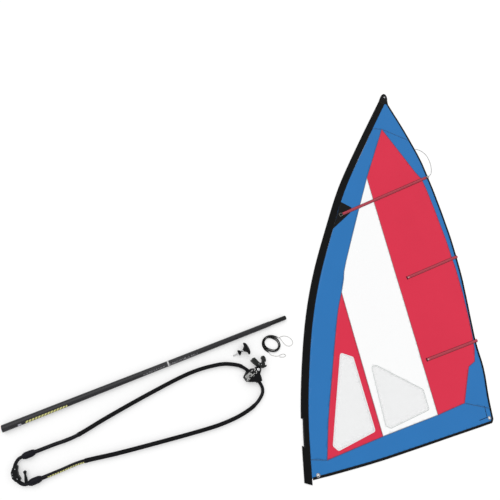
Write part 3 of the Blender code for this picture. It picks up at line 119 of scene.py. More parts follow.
def finish(name, colour, roughness, metallic=0.0, **sockets):
    """A finish with its even values set on the shader's own sockets."""
    made = bpy.data.materials.new(name)
    made.use_nodes = True
    shader = made.node_tree.nodes["Principled BSDF"]
    shader.inputs["Base Color"].default_value = (*colour, 1.0)
    shader.inputs["Roughness"].default_value = roughness
    shader.inputs["Metallic"].default_value = metallic
    for socket, value in sockets.items():
        shader.inputs[socket.replace("_", " ")].default_value = value
    return made


class Value:
    """A number or colour that a finish works out in its nodes, to be reckoned with like a plain number."""

    def __init__(self, made, socket):
        self.made = made
        self.socket = socket

    def math(self, operation, other=0.0):
        return wire(self.made, "ShaderNodeMath", {0: self, 1: other}, operation=operation)

    def __add__(self, other):
        return self.math("ADD", other)

    def __sub__(self, other):
        return self.math("SUBTRACT", other)

    def __mul__(self, other):
        return self.math("MULTIPLY", other)

    def __lt__(self, other):
        return self.math("LESS_THAN", other)

    def __abs__(self):
        return self.math("ABSOLUTE")

    def wave(self):
        return self.math("SINE")

    def ramp(self, low, high, top=1.0):
        return wire(self.made, "ShaderNodeMapRange", {0: self, 1: low, 2: high, 4: top})


def wire(made, kind, inputs, out=0, **settings):
    """One node of a finish, fed with numbers or with other nodes' values."""
    added = made.node_tree.nodes.new(kind)
    for setting, value in settings.items():
        setattr(added, setting, value)
    for socket, value in inputs.items():
        if isinstance(value, Value):
            made.node_tree.links.new(value.socket, added.inputs[socket])
        else:
            added.inputs[socket].default_value = value
    return Value(made, added.outputs[out])


def mixed(share, low, high):
    """One colour going over into another."""
    low, high = (c if isinstance(c, Value) else (*c, 1.0) for c in (low, high))
    return wire(share.made, "ShaderNodeMix", {0: share, 6: low, 7: high}, 2, data_type="RGBA")


def to_shader(value, socket):
    shader = value.made.node_tree.nodes["Principled BSDF"]
    value.made.node_tree.links.new(value.socket, shader.inputs[socket])


def raise_surface(height, distance, strength=1.0):
    bump = wire(height.made, "ShaderNodeBump", {"Height": height, "Distance": distance, "Strength": strength})
    to_shader(bump, "Normal")


def shade_of(colour, factor, lift=0.0):
    """A colour made darker or lighter."""
    return tuple(min(1.0, c * factor + lift) for c in colour)


def lay_of(made):
    """A piece's own lay, then its two directions: along the piece, and across or round it."""
    place = wire(made, "ShaderNodeUVMap", {}, uv_map="lay")
    return place, *(wire(made, "ShaderNodeSeparateXYZ", {0: place}, way) for way in (0, 1))


def own_place(made):
    return wire(made, "ShaderNodeTexCoord", {}, 3)


def noise(place, scale, detail, **more):
    return wire(place.made, "ShaderNodeTexNoise", {"Vector": place, "Scale": scale, "Detail": detail, **more})


def crossed(one, other):
    """Two sets of strands over and under each other, from 0 in the gaps to 1 on the crowns."""
    return one.wave() * other.wave() * 0.5 + 0.5


def flecks(place, along, around):
    """A different chance in each cell of the lay."""
    cell = wire(place.made, "ShaderNodeMapping", {0: place, 3: (along, around, 1.0)})
    cell = wire(place.made, "ShaderNodeVectorMath", {0: cell}, operation="FLOOR")
    return wire(place.made, "ShaderNodeTexWhiteNoise", {0: cell}, noise_dimensions="2D")


def braid(name, dark, light, pitch, strands, fleck, fleck_share, roughness=0.8, bulge=0.0006):
    """A braided cover: two sets of strands wind round the line both ways, and some of them are flecked. Its dark colour
    is painted shade in the gaps between strands, and its light colour is a painted highlight on their crowns.
    """
    made = finish(name, dark, roughness, Specular_IOR_Level=0.12)
    place, along, around = lay_of(made)
    turns, lanes = along * (math.tau / pitch), around * (math.tau * strands)
    crown = crossed(turns + lanes, turns - lanes)
    speck = (flecks(place, 1.0 / pitch, strands) < fleck_share) * crown
    # Painted shade and highlight: the cover is darker in the gaps between strands and lighter on their crowns,
    # following the bump's relief.
    to_shader(mixed(speck, mixed(crown, dark, light), fleck), "Base Color")
    raise_surface(crown, bulge)
    return made


def smooth_line(points, steps=8):
    """Points along a smooth curve through the given ones."""
    line = [Vector(p) for p in points]
    line = [2 * line[0] - line[1]] + line + [2 * line[-1] - line[-2]]
    found = []
    for before, start, end, after in zip(line, line[1:], line[2:], line[3:]):
        for step in range(steps):
            t = step / steps
            bend = 2 * before - 5 * start + 4 * end - after
            twist = 3 * start - before - 3 * end + after
            found.append(0.5 * (2 * start + (end - before) * t + bend * t * t + twist * t ** 3))
    return found + [line[-2]]


def distances(line):
    """How far along a line each of its points is."""
    reached = [0.0]
    for a, b in zip(line, line[1:]):
        reached.append(reached[-1] + (b - a).length)
    return reached


def length_of(line):
    return distances(line)[-1]


def ways_of(line, closed=False):
    """The direction of a line at each of its points."""
    ahead = line[1:] + (line[:1] if closed else line[-1:])
    behind = (line[-1:] if closed else line[:1]) + line[:-1]
    return [(a - b).normalized() for a, b in zip(ahead, behind)]


def spaced_out(line, count):
    """The same line with evenly spaced points."""
    reached = distances(line)
    found = []
    span = 0
    for index in range(count):
        want = reached[-1] * index / (count - 1)
        while span < len(line) - 2 and reached[span + 1] < want:
            span += 1
        share = (want - reached[span]) / (reached[span + 1] - reached[span])
        found.append(line[span].lerp(line[span + 1], min(share, 1.0)))
    return found


def fit(piece, body, slot, *nodes):
    """A finished piece rides on its body and stands for its solids, which are hidden; its slot is not used."""
    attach(piece, body)
    if nodes:
        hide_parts(*nodes)
    return piece


def from_shape(name, shape, material):
    """A piece made from a finished bmesh."""
    data = bpy.data.meshes.new(name)
    shape.to_mesh(data)
    shape.free()
    data.materials.append(material)
    made = bpy.data.objects.new(name, data)
    bpy.context.scene.collection.objects.link(made)
    return made


def skin(name, grid, lay_at, material, looped=False, capped=False, open_side=False, left_out=()):
    """A surface through rings of points, with its own lay; its ends are joined, capped or left open."""
    shape = bmesh.new()
    lay = shape.loops.layers.uv.new("lay")
    rings = [[shape.verts.new(point) for point in ring] for ring in grid]
    count, around = len(rings), len(rings[0])
    for i in range(count if looped else count - 1):
        for k in range(around - 1 if open_side else around):
            if (i, k) in left_out:
                continue
            corners = ((i, k), (i, k + 1), (i + 1, k + 1), (i + 1, k))
            face = shape.faces.new([rings[a % count][b % around] for a, b in corners])
            face.smooth = True
            for loop, corner in zip(face.loops, corners):
                loop[lay].uv = lay_at(*corner)
    if capped:
        for ring in (rings[0], rings[-1]):
            shape.faces.new(ring).smooth = True
    bmesh.ops.delete(shape, geom=[v for v in shape.verts if not v.link_faces], context="VERTS")
    bmesh.ops.recalc_face_normals(shape, faces=shape.faces)
    return from_shape(name, shape, material)


def ring_round(point, side, over, radius, sides):
    turns = [math.tau * k / sides for k in range(sides)]
    return [point + (side * math.cos(turn) + over * math.sin(turn)) * radius for turn in turns]


def lay_rope(name, line, radius, material, sides=16, closed=False):
    """A round line along a route, with rounded ends and its own lay of metres along it and turns round it."""
    line = [Vector(p) for p in line]
    ways = ways_of(line, closed)
    side = ways[0].orthogonal().normalized()
    stations = []
    for point, way, reached in zip(line, ways, distances(line)):
        side = (side - way * side.dot(way)).normalized()
        stations.append((point, way, side, radius, reached))
    if not closed:
        first, last = stations[0], stations[-1]
        for bend in (math.radians(20), math.radians(55)):
            out = radius * math.sin(bend) * 0.5
            stations.insert(0, (first[0] - first[1] * out, *first[1:3], radius * math.cos(bend), 0.0))
            stations.append((last[0] + last[1] * out, *last[1:3], radius * math.cos(bend), last[4]))
    grid = [ring_round(point, side, way.cross(side), wide, sides) for point, way, side, wide, reached in stations]
    run = [reached for *station, reached in stations] + [length_of(line + line[:1])]
    return skin(name, grid, lambda i, k: (run[i], k / sides), material, looped=closed, capped=not closed)


def tie_knot(name, at, line_radius, material):
    """A small tightened overhand knot in a thin line."""
    wide, tall = line_radius * 0.62, line_radius * 0.75
    loop = []
    for t in (math.tau * k / 48 for k in range(48)):
        loop.append(Vector(((math.sin(t) + 2 * math.sin(2 * t)) * wide, (math.cos(t) - 2 * math.cos(2 * t)) * wide,
                            -math.sin(3 * t) * tall)))
    turned = Matrix.Rotation(0.7, 3, "Z")
    lifted = Vector((at[0], at[1], line_radius * 1.75))
    return lay_rope(name, [turned @ p + lifted for p in loop], line_radius, material, sides=10, closed=True)


coil_at = Vector((-0.0976, -0.9081, 0.0))
rope_radius = 0.005
coil_radius = 0.0995
coil_turns = 3.52
coil_pitch = 0.0155
coil_rise = 0.0108
coil_start = math.radians(-122.0)
coil_steps = 180
oval_share, oval_turn = 0.07, math.radians(12.0)
gather_share, gather_turn = 0.22, math.radians(35.0)
thin_radius = 0.002

coil_line = []
for k in range(coil_steps + 1):
    turn = coil_turns * k / coil_steps
    climb = min(max(turn - coil_turns / 2 + 0.25, 0.0), 0.5) * 2
    angle = coil_start - math.tau * turn
    oval = 1.0 - oval_share + oval_share * math.cos(2 * (angle + oval_turn))
    gather = 1.0 - gather_share * math.cos(2 * (angle + gather_turn))
    away = coil_radius * oval - rope_radius - coil_pitch * gather * min(turn, coil_turns - turn)
    lifted = rope_radius + coil_rise * climb * climb * (3 - 2 * climb)
    coil_line.append(coil_at + Vector((away * math.cos(angle), away * math.sin(angle), lifted)))
start_way = ((coil_line[0] - coil_line[1]) * Vector((1, 1, 0))).normalized()
end_way = ((coil_line[-1] - coil_line[-2]) * Vector((1, 1, 0))).normalized()
rope_start = coil_line[0] + start_way * 0.010
rope_end = coil_line[-1] + end_way * 0.010
coil_line = [rope_start] + coil_line + [rope_end]

rope_cover = braid("rope_cover", (0.0015, 0.0015, 0.0015), (0.008, 0.008, 0.0085), 0.0075, 6, (0.20, 0.20, 0.20), 0.10)
thin_cover = braid("thin_line_cover", (0.26, 0.25, 0.24), (0.50, 0.49, 0.47), 0.0030, 4, (0.62, 0.61, 0.59), 0.3,
                   roughness=0.7, bulge=0.0003)
whipping_twine = braid("whipping_twine", (0.01, 0.01, 0.01), (0.04, 0.04, 0.045), 0.0011, 1, (0.08, 0.08, 0.08), 0.2,
                       bulge=0.0003)
uphaul = fit(lay_rope("uphaul_cover", coil_line, rope_radius, rope_cover, sides=20), "root", "black_rope",
             "uphaul_rope")
for name, tip, way in (("uphaul_whipping_start", rope_start, start_way), ("uphaul_whipping_end", rope_end, end_way)):
    wound = [tip - way * back for back in (0.011, 0.006, 0.001)]
    fit(lay_rope(name, wound, rope_radius * 1.07, whipping_twine, sides=20), "root", "black_rope")
length_of(coil_line)

loop_points = ((0.100, 0.068, 0.006), (0.126, 0.074, 0.002), (0.158, 0.071, 0.002), (0.192, 0.056, 0.002),
               (0.216, 0.030, 0.002), (0.219, 0.002, 0.002), (0.198, -0.018, 0.002), (0.166, -0.021, 0.002),
               (0.136, -0.004, 0.002), (0.112, 0.026, 0.002), (0.094, 0.050, 0.002), (0.083, 0.061, 0.002))
tail_points = ((-0.016, -0.097, 0.003), (0.006, -0.107, 0.002), (0.036, -0.114, 0.002), (0.064, -0.113, 0.002),
               (0.086, -0.103, 0.002), (0.110, -0.096, 0.002), (0.132, -0.100, 0.002), (0.140, -0.110, 0.002),
               (0.128, -0.121, 0.002), (0.104, -0.125, 0.002), (0.078, -0.121, 0.002))
for name, tip, way, points in (("uphaul_loop", rope_end, end_way, loop_points),
                               ("uphaul_tail", rope_start, start_way, tail_points)):
    ends = [tip + way * 0.0003, tip + way * 0.008]
    line = smooth_line(ends + [coil_at + Vector(p) for p in points])
    line = spaced_out([Vector((p.x, p.y, max(p.z, thin_radius))) for p in line], 96)
    thin = fit(lay_rope(f"{name}_line", line, thin_radius, thin_cover, sides=12), "root", "pale_line", name)
    knot = fit(tie_knot(f"{name}_knot", line[-1], thin_radius * 0.75, thin_cover), "root", "pale_line")
    length_of(line)

# Leech line: 4 mm braided line that comes out of the top batten's cap and runs back into the leech tape. It
# leaves the cap level, then lies on the floor in one wide bow.

sail_corner = Vector((0.140, -2.131, 0.0))
sail_turn = Matrix.Rotation(math.radians(-18.9), 3, "Z")


def on_sail(across, up, height=0.0):
    """A point of the laid sail: across from the luff chord, up from the tack, and above the floor."""
    return sail_corner + sail_turn @ Vector((across, up, height))


leech_points = ((0.7685, 3.6355, 0.008), (0.7710, 3.6380, 0.008), (0.788, 3.664, 0.003), (0.802, 3.705, 0.002),
                (0.795, 3.770, 0.002), (0.768, 3.838, 0.002), (0.722, 3.902, 0.002), (0.668, 3.938, 0.002),
                (0.606, 3.950, 0.002), (0.5482, 3.9430, 0.002), (0.5338, 3.9298, 0.002))
leech_route = smooth_line([on_sail(*p) for p in leech_points])
leech_route = spaced_out([Vector((p.x, p.y, max(p.z, thin_radius))) for p in leech_route], 96)
leech_cover = braid("leech_line_cover", (0.006, 0.006, 0.006), (0.022, 0.021, 0.020), 0.0030, 4,
                    (0.30, 0.28, 0.25), 0.25, bulge=0.0003)
leech_line = fit(lay_rope("leech_line", leech_route, thin_radius, leech_cover, sides=12), "root", "pale_line",
                 "leech_cord")
length_of(leech_route)

# Sail panels: laminated polyester film with a woven grid, cut flat and sewn edge to edge. The laid sail keeps
# soft waves between its battens, which hold it flat along their length.

luff_edge = spaced_out(smooth_line((
    (0.0, 0.0), (-0.148, 0.45), (-0.254, 0.88), (-0.346, 1.42), (-0.378, 1.93), (-0.358, 2.51), (-0.331, 2.93),
    (-0.276, 3.30), (-0.163, 3.90), (-0.052, 4.45)), 6), 37)
leech_edge = smooth_line((
    (0.062, 4.402), (0.113, 4.351), (0.430, 4.040), (0.760, 3.644), (1.291, 2.750), (1.635, 1.895),
    (1.785, 1.589), (1.877, 1.302), (1.957, 1.097)), 4)
foot_edge = smooth_line(((1.932, 1.043), (1.340, 0.710), (0.750, 0.381), (0.300, 0.150), (0.090, 0.047)), 4)
clew_corner = [Vector((1.951, 1.066)), Vector((1.944, 1.050))]
clew_inner = [Vector((1.936, 1.075)), Vector((1.930, 1.063))]
sleeve_width = 0.083
tape_width = 0.014
sleeve_top = 4.385
battens = (((-0.205, 2.698), (0.746, 3.614)), ((0.694, 2.259), (1.295, 2.757)), ((1.069, 1.455), (1.670, 1.865)))
clew_eye_at = Vector((1.905, 1.092))
tack_eye_at = Vector((0.118, 0.092))
head_eye_at = Vector((-0.004, 4.478))


def beside(line, distance):
    """A line moved sideways, to its left when the distance is positive."""
    return [Vector((p.x - way.y * distance, p.y + way.x * distance)) for p, way in zip(line, ways_of(line))]


def at_level(line, level):
    """The point of a line at a height up the sail."""
    ordered = sorted(line, key=lambda p: p.y)
    for a, b in zip(ordered, ordered[1:]):
        if a.y <= level <= b.y:
            return a.lerp(b, (level - a.y) / (b.y - a.y))
    return ordered[0] if level < ordered[0].y else ordered[-1]


def between_levels(line, low, high):
    inside = [p for p in sorted(line, key=lambda p: p.y) if low + 0.002 < p.y < high - 0.002]
    return [at_level(line, low)] + inside + [at_level(line, high)]


def to_segment(point, a, b):
    """How far a point is from a straight line between two others."""
    share = max(0.0, min(1.0, (point - a).dot(b - a) / (b - a).length_squared))
    return (point - a.lerp(b, share)).length


def cloth_wave(across, up):
    """How far the laid cloth stands off the floor: soft waves that die out at the battens, eyes and head."""
    broad = math.sin(2.6 * across + 1.3 * up + 0.4) * math.sin(1.1 * across - 2.3 * up + 1.1)
    small = math.sin(7.3 * across - 3.2 * up + 2.0) * math.sin(2.7 * across + 5.6 * up)
    crease = max(0.0, math.sin(11.0 * (0.82 * across - 0.57 * up) + 0.8)) ** 3
    here = Vector((across, up))
    calm = 1.0
    for inner, outer in battens:
        calm *= 1.0 - math.exp(-(to_segment(here, Vector(inner), Vector(outer)) / 0.11) ** 2)
    for held in (clew_eye_at, tack_eye_at, head_eye_at):
        calm *= 1.0 - math.exp(-((here - held).length / 0.14) ** 2)
    return 0.0028 * (1.0 + 0.60 * broad + 0.30 * small + 0.25 * crease) * calm


cloth_top = 0.0024


def select_only(piece):
    bpy.ops.object.select_all(action="DESELECT")
    piece.select_set(True)
    bpy.context.view_layer.objects.active = piece


def apply_all(piece):
    """Every modifier of a piece, applied in turn."""
    select_only(piece)
    for modifier in list(piece.modifiers):
        bpy.ops.object.modifier_apply(modifier=modifier.name)


def smooth_by(piece, degrees):
    select_only(piece)
    bpy.ops.object.shade_smooth_by_angle(angle=math.radians(degrees))


def thicken(piece, thickness):
    wall = piece.modifiers.new("wall", "SOLIDIFY")
    wall.thickness = thickness
    wall.offset = -1.0
    apply_all(piece)


def lay_sheet(name, outlines, material, thickness=0.0010, level=0.0):
    """A flat cut sheet with its own outline and holes, divided finely enough to follow the cloth's waves."""
    spacing = 0.030
    data = bpy.data.curves.new(name, "CURVE")
    data.dimensions = "2D"
    data.fill_mode = "BOTH"
    for outline in outlines:
        edge = data.splines.new("POLY")
        edge.points.add(len(outline) - 1)
        for point, place in zip(edge.points, outline):
            point.co = (place[0], place[1], 0.0, 1.0)
        edge.use_cyclic_u = True
    drawn = bpy.data.objects.new(name + "_drawn", data)
    bpy.context.scene.collection.objects.link(drawn)
    bpy.context.view_layer.update()
    filled = bpy.data.meshes.new_from_object(drawn.evaluated_get(bpy.context.evaluated_depsgraph_get()))
    bpy.data.objects.remove(drawn)
    shape = bmesh.new()
    shape.from_mesh(filled)
    bmesh.ops.remove_doubles(shape, verts=shape.verts, dist=0.00002)
    low = [min(v.co[k] for v in shape.verts) for k in range(2)]
    high = [max(v.co[k] for v in shape.verts) for k in range(2)]
    bmesh.ops.dissolve_limit(shape, angle_limit=0.02, verts=shape.verts, edges=shape.edges)
    for axis in range(2):
        step = math.ceil(low[axis] / spacing)
        while step * spacing < high[axis]:
            place = Vector((0.0, 0.0, 0.0))
            place[axis] = step * spacing
            normal = Vector((0.0, 0.0, 0.0))
            normal[axis] = 1.0
            bmesh.ops.bisect_plane(shape, geom=shape.verts[:] + shape.edges[:] + shape.faces[:], dist=0.0001,
                                   plane_co=place, plane_no=normal)
            step += 1
    lay = shape.loops.layers.uv.new("lay")
    for face in shape.faces:
        for loop in face.loops:
            loop[lay].uv = (loop.vert.co.x, loop.vert.co.y)
        if face.normal.z < 0.0:
            face.normal_flip()
        face.smooth = True
    for vert in shape.verts:
        vert.co = on_sail(vert.co.x, vert.co.y, cloth_top + cloth_wave(vert.co.x, vert.co.y) + level)
    bpy.data.meshes.remove(filled)
    made = from_shape(name, shape, material)
    thicken(made, thickness)
    return made


def cut_area(outline):
    return 0.5 * abs(sum(a.x * b.y - b.x * a.y for a, b in zip(outline, outline[1:] + outline[:1])))


def cut_from(outline, area):
    """The smallest rectangle of film that a cut comes out of; a long bowed strip is cut in short straight pieces."""
    best = None
    for degrees in range(0, 90, 2):
        turn = Matrix.Rotation(math.radians(degrees), 2)
        spots = [turn @ p for p in outline]
        wide = max(p.x for p in spots) - min(p.x for p in spots)
        tall = max(p.y for p in spots) - min(p.y for p in spots)
        if best is None or wide * tall < best[0] * best[1]:
            best = (wide, tall)
    if area < 0.35 * best[0] * best[1]:
        strip = length_of(outline + outline[:1]) / 2
        best = (area / (0.6 * strip), strip)
    return best


def film(name, colour, roughness, shade):
    """Laminated sail film: a grid of yarns under a satin face, with faint handling creases."""
    made = finish(name, colour, roughness, Specular_IOR_Level=0.16)
    place, across, up = lay_of(made)
    yarn_pitch, yarn_half = 0.0085, 0.00055
    yarns = [way.math("PINGPONG", yarn_pitch / 2) < yarn_half for way in (across, up)]
    grid = yarns[0].math("MAXIMUM", yarns[1])
    mottle = noise(place, 2.2, 5.0, Roughness=0.55)
    folds = noise(place, 9.0, 3.0, Distortion=1.2)
    tint = mixed(mottle * 1.4 - 0.2, shade_of(colour, shade), shade_of(colour, 2.0 - shade))
    to_shader(mixed(grid * 0.32, tint, shade_of(colour, 0.90, 0.008)), "Base Color")
    to_shader(mottle * 0.16 + (roughness - 0.08), "Roughness")
    raise_surface(folds + grid * 0.05, 0.0016, 0.6)
    return made


blue_film = film("blue_film_face", (0.0245, 0.180, 0.484), 0.38, 0.965)
red_film = film("red_film_face", (0.713, 0.0300, 0.071), 0.38, 0.965)
white_film = film("white_film_face", (0.985, 0.988, 0.99), 0.36, 0.998)

luff_seam = [Vector((p.x + sleeve_width, p.y)) for p in luff_edge]
leech_seam = beside(leech_edge, -tape_width)
foot_seam = beside(foot_edge, -tape_width)
red_top = Vector((0.046, 3.998))
white_top = Vector((-0.014, 3.262))
front_top = Vector((-0.028, 1.826))
front_foot = Vector((0.174, 0.236))
middle_foot = Vector((0.700, 0.585))
red_foot = Vector((1.279, 0.948))
red_step = [Vector(p) for p in ((1.581, 1.154), (1.591, 1.544), (1.659, 1.624))]
front_edge = smooth_line((front_top, (-0.026, 1.640), (0.009, 1.326), (0.059, 0.939), (0.108, 0.575), front_foot), 3)
white_edge = smooth_line((white_top, (-0.051, 2.193), (-0.036, 1.980), front_top), 3)
red_side = smooth_line((red_step[-1], (1.607, 1.883), (1.287, 2.613), (0.749, 3.480), (0.584, 3.616), red_top), 3)
red_edge = [red_foot] + red_step + red_side[1:]


def round_off(outline, radius, steps=4):
    """A closed outline with its corners rounded."""
    outline = [Vector(p) for p in outline]
    found = []
    for before, point, after in zip(outline[-1:] + outline[:-1], outline, outline[1:] + outline[:1]):
        back = (before - point).normalized()
        on = (after - point).normalized()
        side = min((before - point).length, (after - point).length)
        reach = min(radius / math.tan(back.angle(on) / 2), 0.45 * side)
        for step in range(steps + 1):
            t = step / steps
            start, end = point + back * reach, point + on * reach
            found.append(start * (1 - t) ** 2 + point * 2 * t * (1 - t) + end * t * t)
    return found


def ring_of(centre, radius):
    return ring_round(centre, Vector((1.0, 0.0)), Vector((0.0, 1.0)), radius, 32)


front_window = round_off([(0.096, 1.218), (0.235, 1.220), (0.606, 0.610), (0.269, 0.346), (0.207, 0.370)], 0.022, 6)
middle_window = round_off([(0.453, 1.193), (0.503, 1.222), (1.072, 1.147), (1.170, 0.971), (0.773, 0.680),
                           (0.711, 0.688)], 0.022, 6)
head_seam_luff, head_seam_leech = 3.95, 4.02
foot_seam_luff, foot_seam_leech = 0.20, 1.19
eye_hole = 0.0125
cuts = (
    ("head_panel", [between_levels(luff_seam, head_seam_luff, sleeve_top)
                    + between_levels(leech_seam, head_seam_leech, 4.402)[::-1] + [red_top]], blue_film, "blue_film"),
    ("luff_panel", [between_levels(luff_seam, foot_seam_luff, head_seam_luff)[::-1] + [front_foot]
                    + front_edge[::-1][1:] + white_edge[::-1][1:] + [red_top]], blue_film, "blue_film"),
    ("leech_panel", [[red_top] + red_edge[::-1][1:-1] + between_levels(leech_seam, foot_seam_leech, head_seam_leech)],
     blue_film, "blue_film"),
    ("foot_panel", [[front_foot, middle_foot, red_foot, red_step[0]]
                    + between_levels(leech_seam, 1.097, foot_seam_leech)[::-1] + clew_inner + foot_seam
                    + between_levels(luff_seam, 0.05, foot_seam_luff), ring_of(clew_eye_at, eye_hole),
                    ring_of(tack_eye_at, eye_hole)], blue_film, "blue_film"),
    ("upper_panel", [red_edge + [white_top]], red_film, "red_film"),
    ("middle_panel", [white_edge + [middle_foot, red_foot], middle_window], white_film, "white_film"),
    ("front_panel", [front_edge + [middle_foot], front_window], red_film, "red_film"),
)
for name, outlines, material, slot in cuts:
    panel = fit(lay_sheet(f"{name}_cloth", outlines, material), "root", slot, name)
    area = cut_area(outlines[0]) - sum(cut_area(hole) for hole in outlines[1:])
    cut_from(outlines[0], area)

# Windows: clear film, glossy on both faces, sewn into a red and a white panel. Each pane is slightly rippled and
# fills an opening with rounded corners.

window_clear = finish("window_clear", (0.985, 0.99, 0.995), 0.10, Alpha=0.36, Specular_IOR_Level=0.4)
window_ripple = noise(lay_of(window_clear)[0], 6.0, 4.0, Distortion=0.8)
raise_surface(window_ripple, 0.0018, 0.5)
to_shader(window_ripple * 0.10 + 0.05, "Roughness")
for name, outline in (("front_window", front_window), ("middle_window", middle_window)):
    pane = fit(lay_sheet(f"{name}_film", [outline], window_clear, thickness=0.0005, level=-0.0003), "root",
               "window_film", name)
    area = cut_area(outline)
    cut_from(outline, area)

# Seams: each panel overlaps the next by 12 mm and is sewn to it with two rows of zigzag stitches. A seam's strip
# has its two films' colours on its own two sides.


def sewn_rows(made, rows, thread=0.0006):
    """Where zigzag thread lies on a strip whose lay runs in metres along it and across from its middle."""
    place, along, aside = lay_of(made)
    pitch, swing = 0.0048, 0.0014
    swung = along.math("PINGPONG", pitch / 2) * (4 * swing / pitch) - swing
    shown = along * 0.0
    for row in rows:
        shown = shown.math("MAXIMUM", abs(aside - row - swung).ramp(thread, thread * 0.5))
    return shown, along, aside


def seam_finish(name, left, right, thread_colour):
    """Two film edges lapped under a double row of thread, with the cut edge showing as a fine dark line."""
    made = finish(name, left, 0.45, Specular_IOR_Level=0.15)
    shown, along, aside = sewn_rows(made, (-0.0033, 0.0033))
    lapped = mixed(aside.math("GREATER_THAN"), shade_of(right, 0.80), shade_of(left, 0.80))
    edge = abs(aside).ramp(0.0026, 0.0014, 0.80)
    dark = tuple(0.09 * (a + b) + 0.01 for a, b in zip(left, right))
    to_shader(mixed(shown, mixed(edge, lapped, dark), thread_colour), "Base Color")
    to_shader(shown * 0.3 + 0.42, "Roughness")
    raise_surface(shown - edge, 0.0005, 0.8)
    return made


def run_strip(name, line, profile, material, closed=False, lift=None):
    """A strip swept along a line of the sail: its closed profile is given as distance to the left and height."""
    line = [Vector(p) for p in line]
    count = len(line)
    grid = []
    for index, point in enumerate(line):
        ahead = line[(index + 1) % count] if closed else line[min(index + 1, count - 1)]
        behind = line[index - 1] if closed else line[max(index - 1, 0)]
        out = (ahead - point).normalized() if (ahead - point).length > 0 else (point - behind).normalized()
        back = (point - behind).normalized() if (point - behind).length > 0 else out
        way = (out + back).normalized()
        left = Vector((-way.y, way.x)) / max(0.6, way.dot(out))
        grow = lift(index / (count - 1)) if lift else 1.0
        spots = [(point + left * aside, height * grow) for aside, height in profile]
        grid.append([on_sail(p.x, p.y, height + cloth_wave(p.x, p.y)) for p, height in spots])
    run = distances(line + line[:1])
    across = [aside for aside, height in profile + profile[:1]]
    made = skin(name, grid, lambda i, k: (run[i], across[k]), material, looped=closed, capped=not closed)
    smooth_by(made, 40)
    return made


def stepped(line, spacing=0.05, closed=False):
    """A line with more points, so that what is swept along it follows the cloth."""
    line = [Vector(p) for p in line]
    if closed:
        line = line + line[:1]
    found = []
    for a, b in zip(line, line[1:]):
        parts = max(1, math.ceil((b - a).length / spacing))
        found += [a.lerp(b, k / parts) for k in range(parts)]
    return found if closed else found + [line[-1]]


film_blue = (0.034, 0.188, 0.485)
film_red = (0.708, 0.040, 0.076)
film_white = (0.90, 0.905, 0.91)
seam_profile = [(-0.006, 0.0018), (-0.006, 0.0032), (-0.0015, 0.0036), (0.0015, 0.0036), (0.006, 0.0032),
                (0.006, 0.0018)]
blue_blue = seam_finish("blue_blue_seam", film_blue, film_blue, (0.10, 0.27, 0.56))
blue_red = seam_finish("blue_red_seam", film_blue, film_red, (0.10, 0.12, 0.30))
red_blue = seam_finish("red_blue_seam", film_red, film_blue, (0.10, 0.12, 0.30))
red_white = seam_finish("red_white_seam", film_red, film_white, (0.55, 0.10, 0.14))
white_red = seam_finish("white_red_seam", film_white, film_red, (0.55, 0.10, 0.14))
blue_white = seam_finish("blue_white_seam", film_blue, film_white, (0.12, 0.26, 0.52))
for name, run, material in (
        ("head_seam", [at_level(luff_seam, head_seam_luff), red_top, at_level(leech_seam, head_seam_leech)], blue_blue),
        ("red_luff_seam", [white_top, red_top], blue_red),
        ("red_leech_seam", red_edge, red_blue),
        ("red_white_seam", [white_top, red_foot], red_white),
        ("white_luff_seam", white_edge[::-1], blue_white),
        ("front_luff_seam", front_edge[::-1], blue_red),
        ("front_leech_seam", [front_top, middle_foot], white_red),
        ("front_foot_seam", [middle_foot, front_foot], blue_red),
        ("white_foot_seam", [red_foot, middle_foot], blue_white),
        ("foot_luff_seam", [at_level(luff_seam, foot_seam_luff), front_foot], blue_blue),
        ("foot_leech_seam", [red_step[0], at_level(leech_seam, foot_seam_leech)], blue_blue)):
    fit(run_strip(name, stepped(run), seam_profile, material), "root", "blue_film")

# Window borders: a narrow film band is lapped over each pane's edge and sewn round it. The middle window's band
# has a dark edge, and the front window's a pale one.

band_profile = [(-0.006, 0.0018), (-0.006, 0.0031), (0.0, 0.0035), (0.006, 0.0031), (0.006, 0.0018)]
for name, outline, colour, edge_colour in (
        ("front_window", front_window, (0.90, 0.91, 0.92), (0.80, 0.74, 0.75)),
        ("middle_window", middle_window, (0.93, 0.94, 0.94), (0.33, 0.37, 0.36))):
    band = finish(f"{name}_band", colour, 0.45)
    shown, along, aside = sewn_rows(band, (-0.0036, 0.0036))
    sewn = mixed(shown, colour, shade_of(colour, 0.85))
    to_shader(mixed(abs(aside).ramp(0.0022, 0.0012), sewn, edge_colour), "Base Color")
    raise_surface(shown, 0.0005, 0.8)
    border = run_strip(f"{name}_border", stepped(outline, 0.04, True), band_profile, band, True)
    fit(border, "root", "white_film")

# Leech and foot tapes: black woven polyester tape folded over the cut edge and sewn through. One strip runs down
# the leech, round the clew and along the foot.


def webbing(name, colour, pitch, rows=(), thread_colour=(0.05, 0.05, 0.055), roughness=0.72, depth=0.0004):
    """Woven tape: ribs across a fine warp, with painted shade between them and painted highlights on them, a little
    sheen, and its own rows of stitches.
    """
    made = finish(name, colour, roughness, Specular_IOR_Level=0.10, Sheen_Weight=0.015, Sheen_Roughness=0.5)
    shown, along, aside = sewn_rows(made, rows)
    weave = crossed(along * (math.tau / pitch), aside * (math.tau / (pitch * 0.8)))
    wear = noise(lay_of(made)[0], 14.0, 4.0) * 0.30
    # Painted shade and highlight: the weave is painted darker than the tape in its gaps and lighter on its crowns.
    tint = mixed(weave, shade_of(colour, 0.75), shade_of(colour, 1.35, 0.002))
    tint = mixed(wear, tint, shade_of(colour, 1.5, 0.006))
    to_shader(mixed(shown, tint, thread_colour), "Base Color")
    raise_surface(shown * 1.4 + weave, depth, 0.7)
    return made


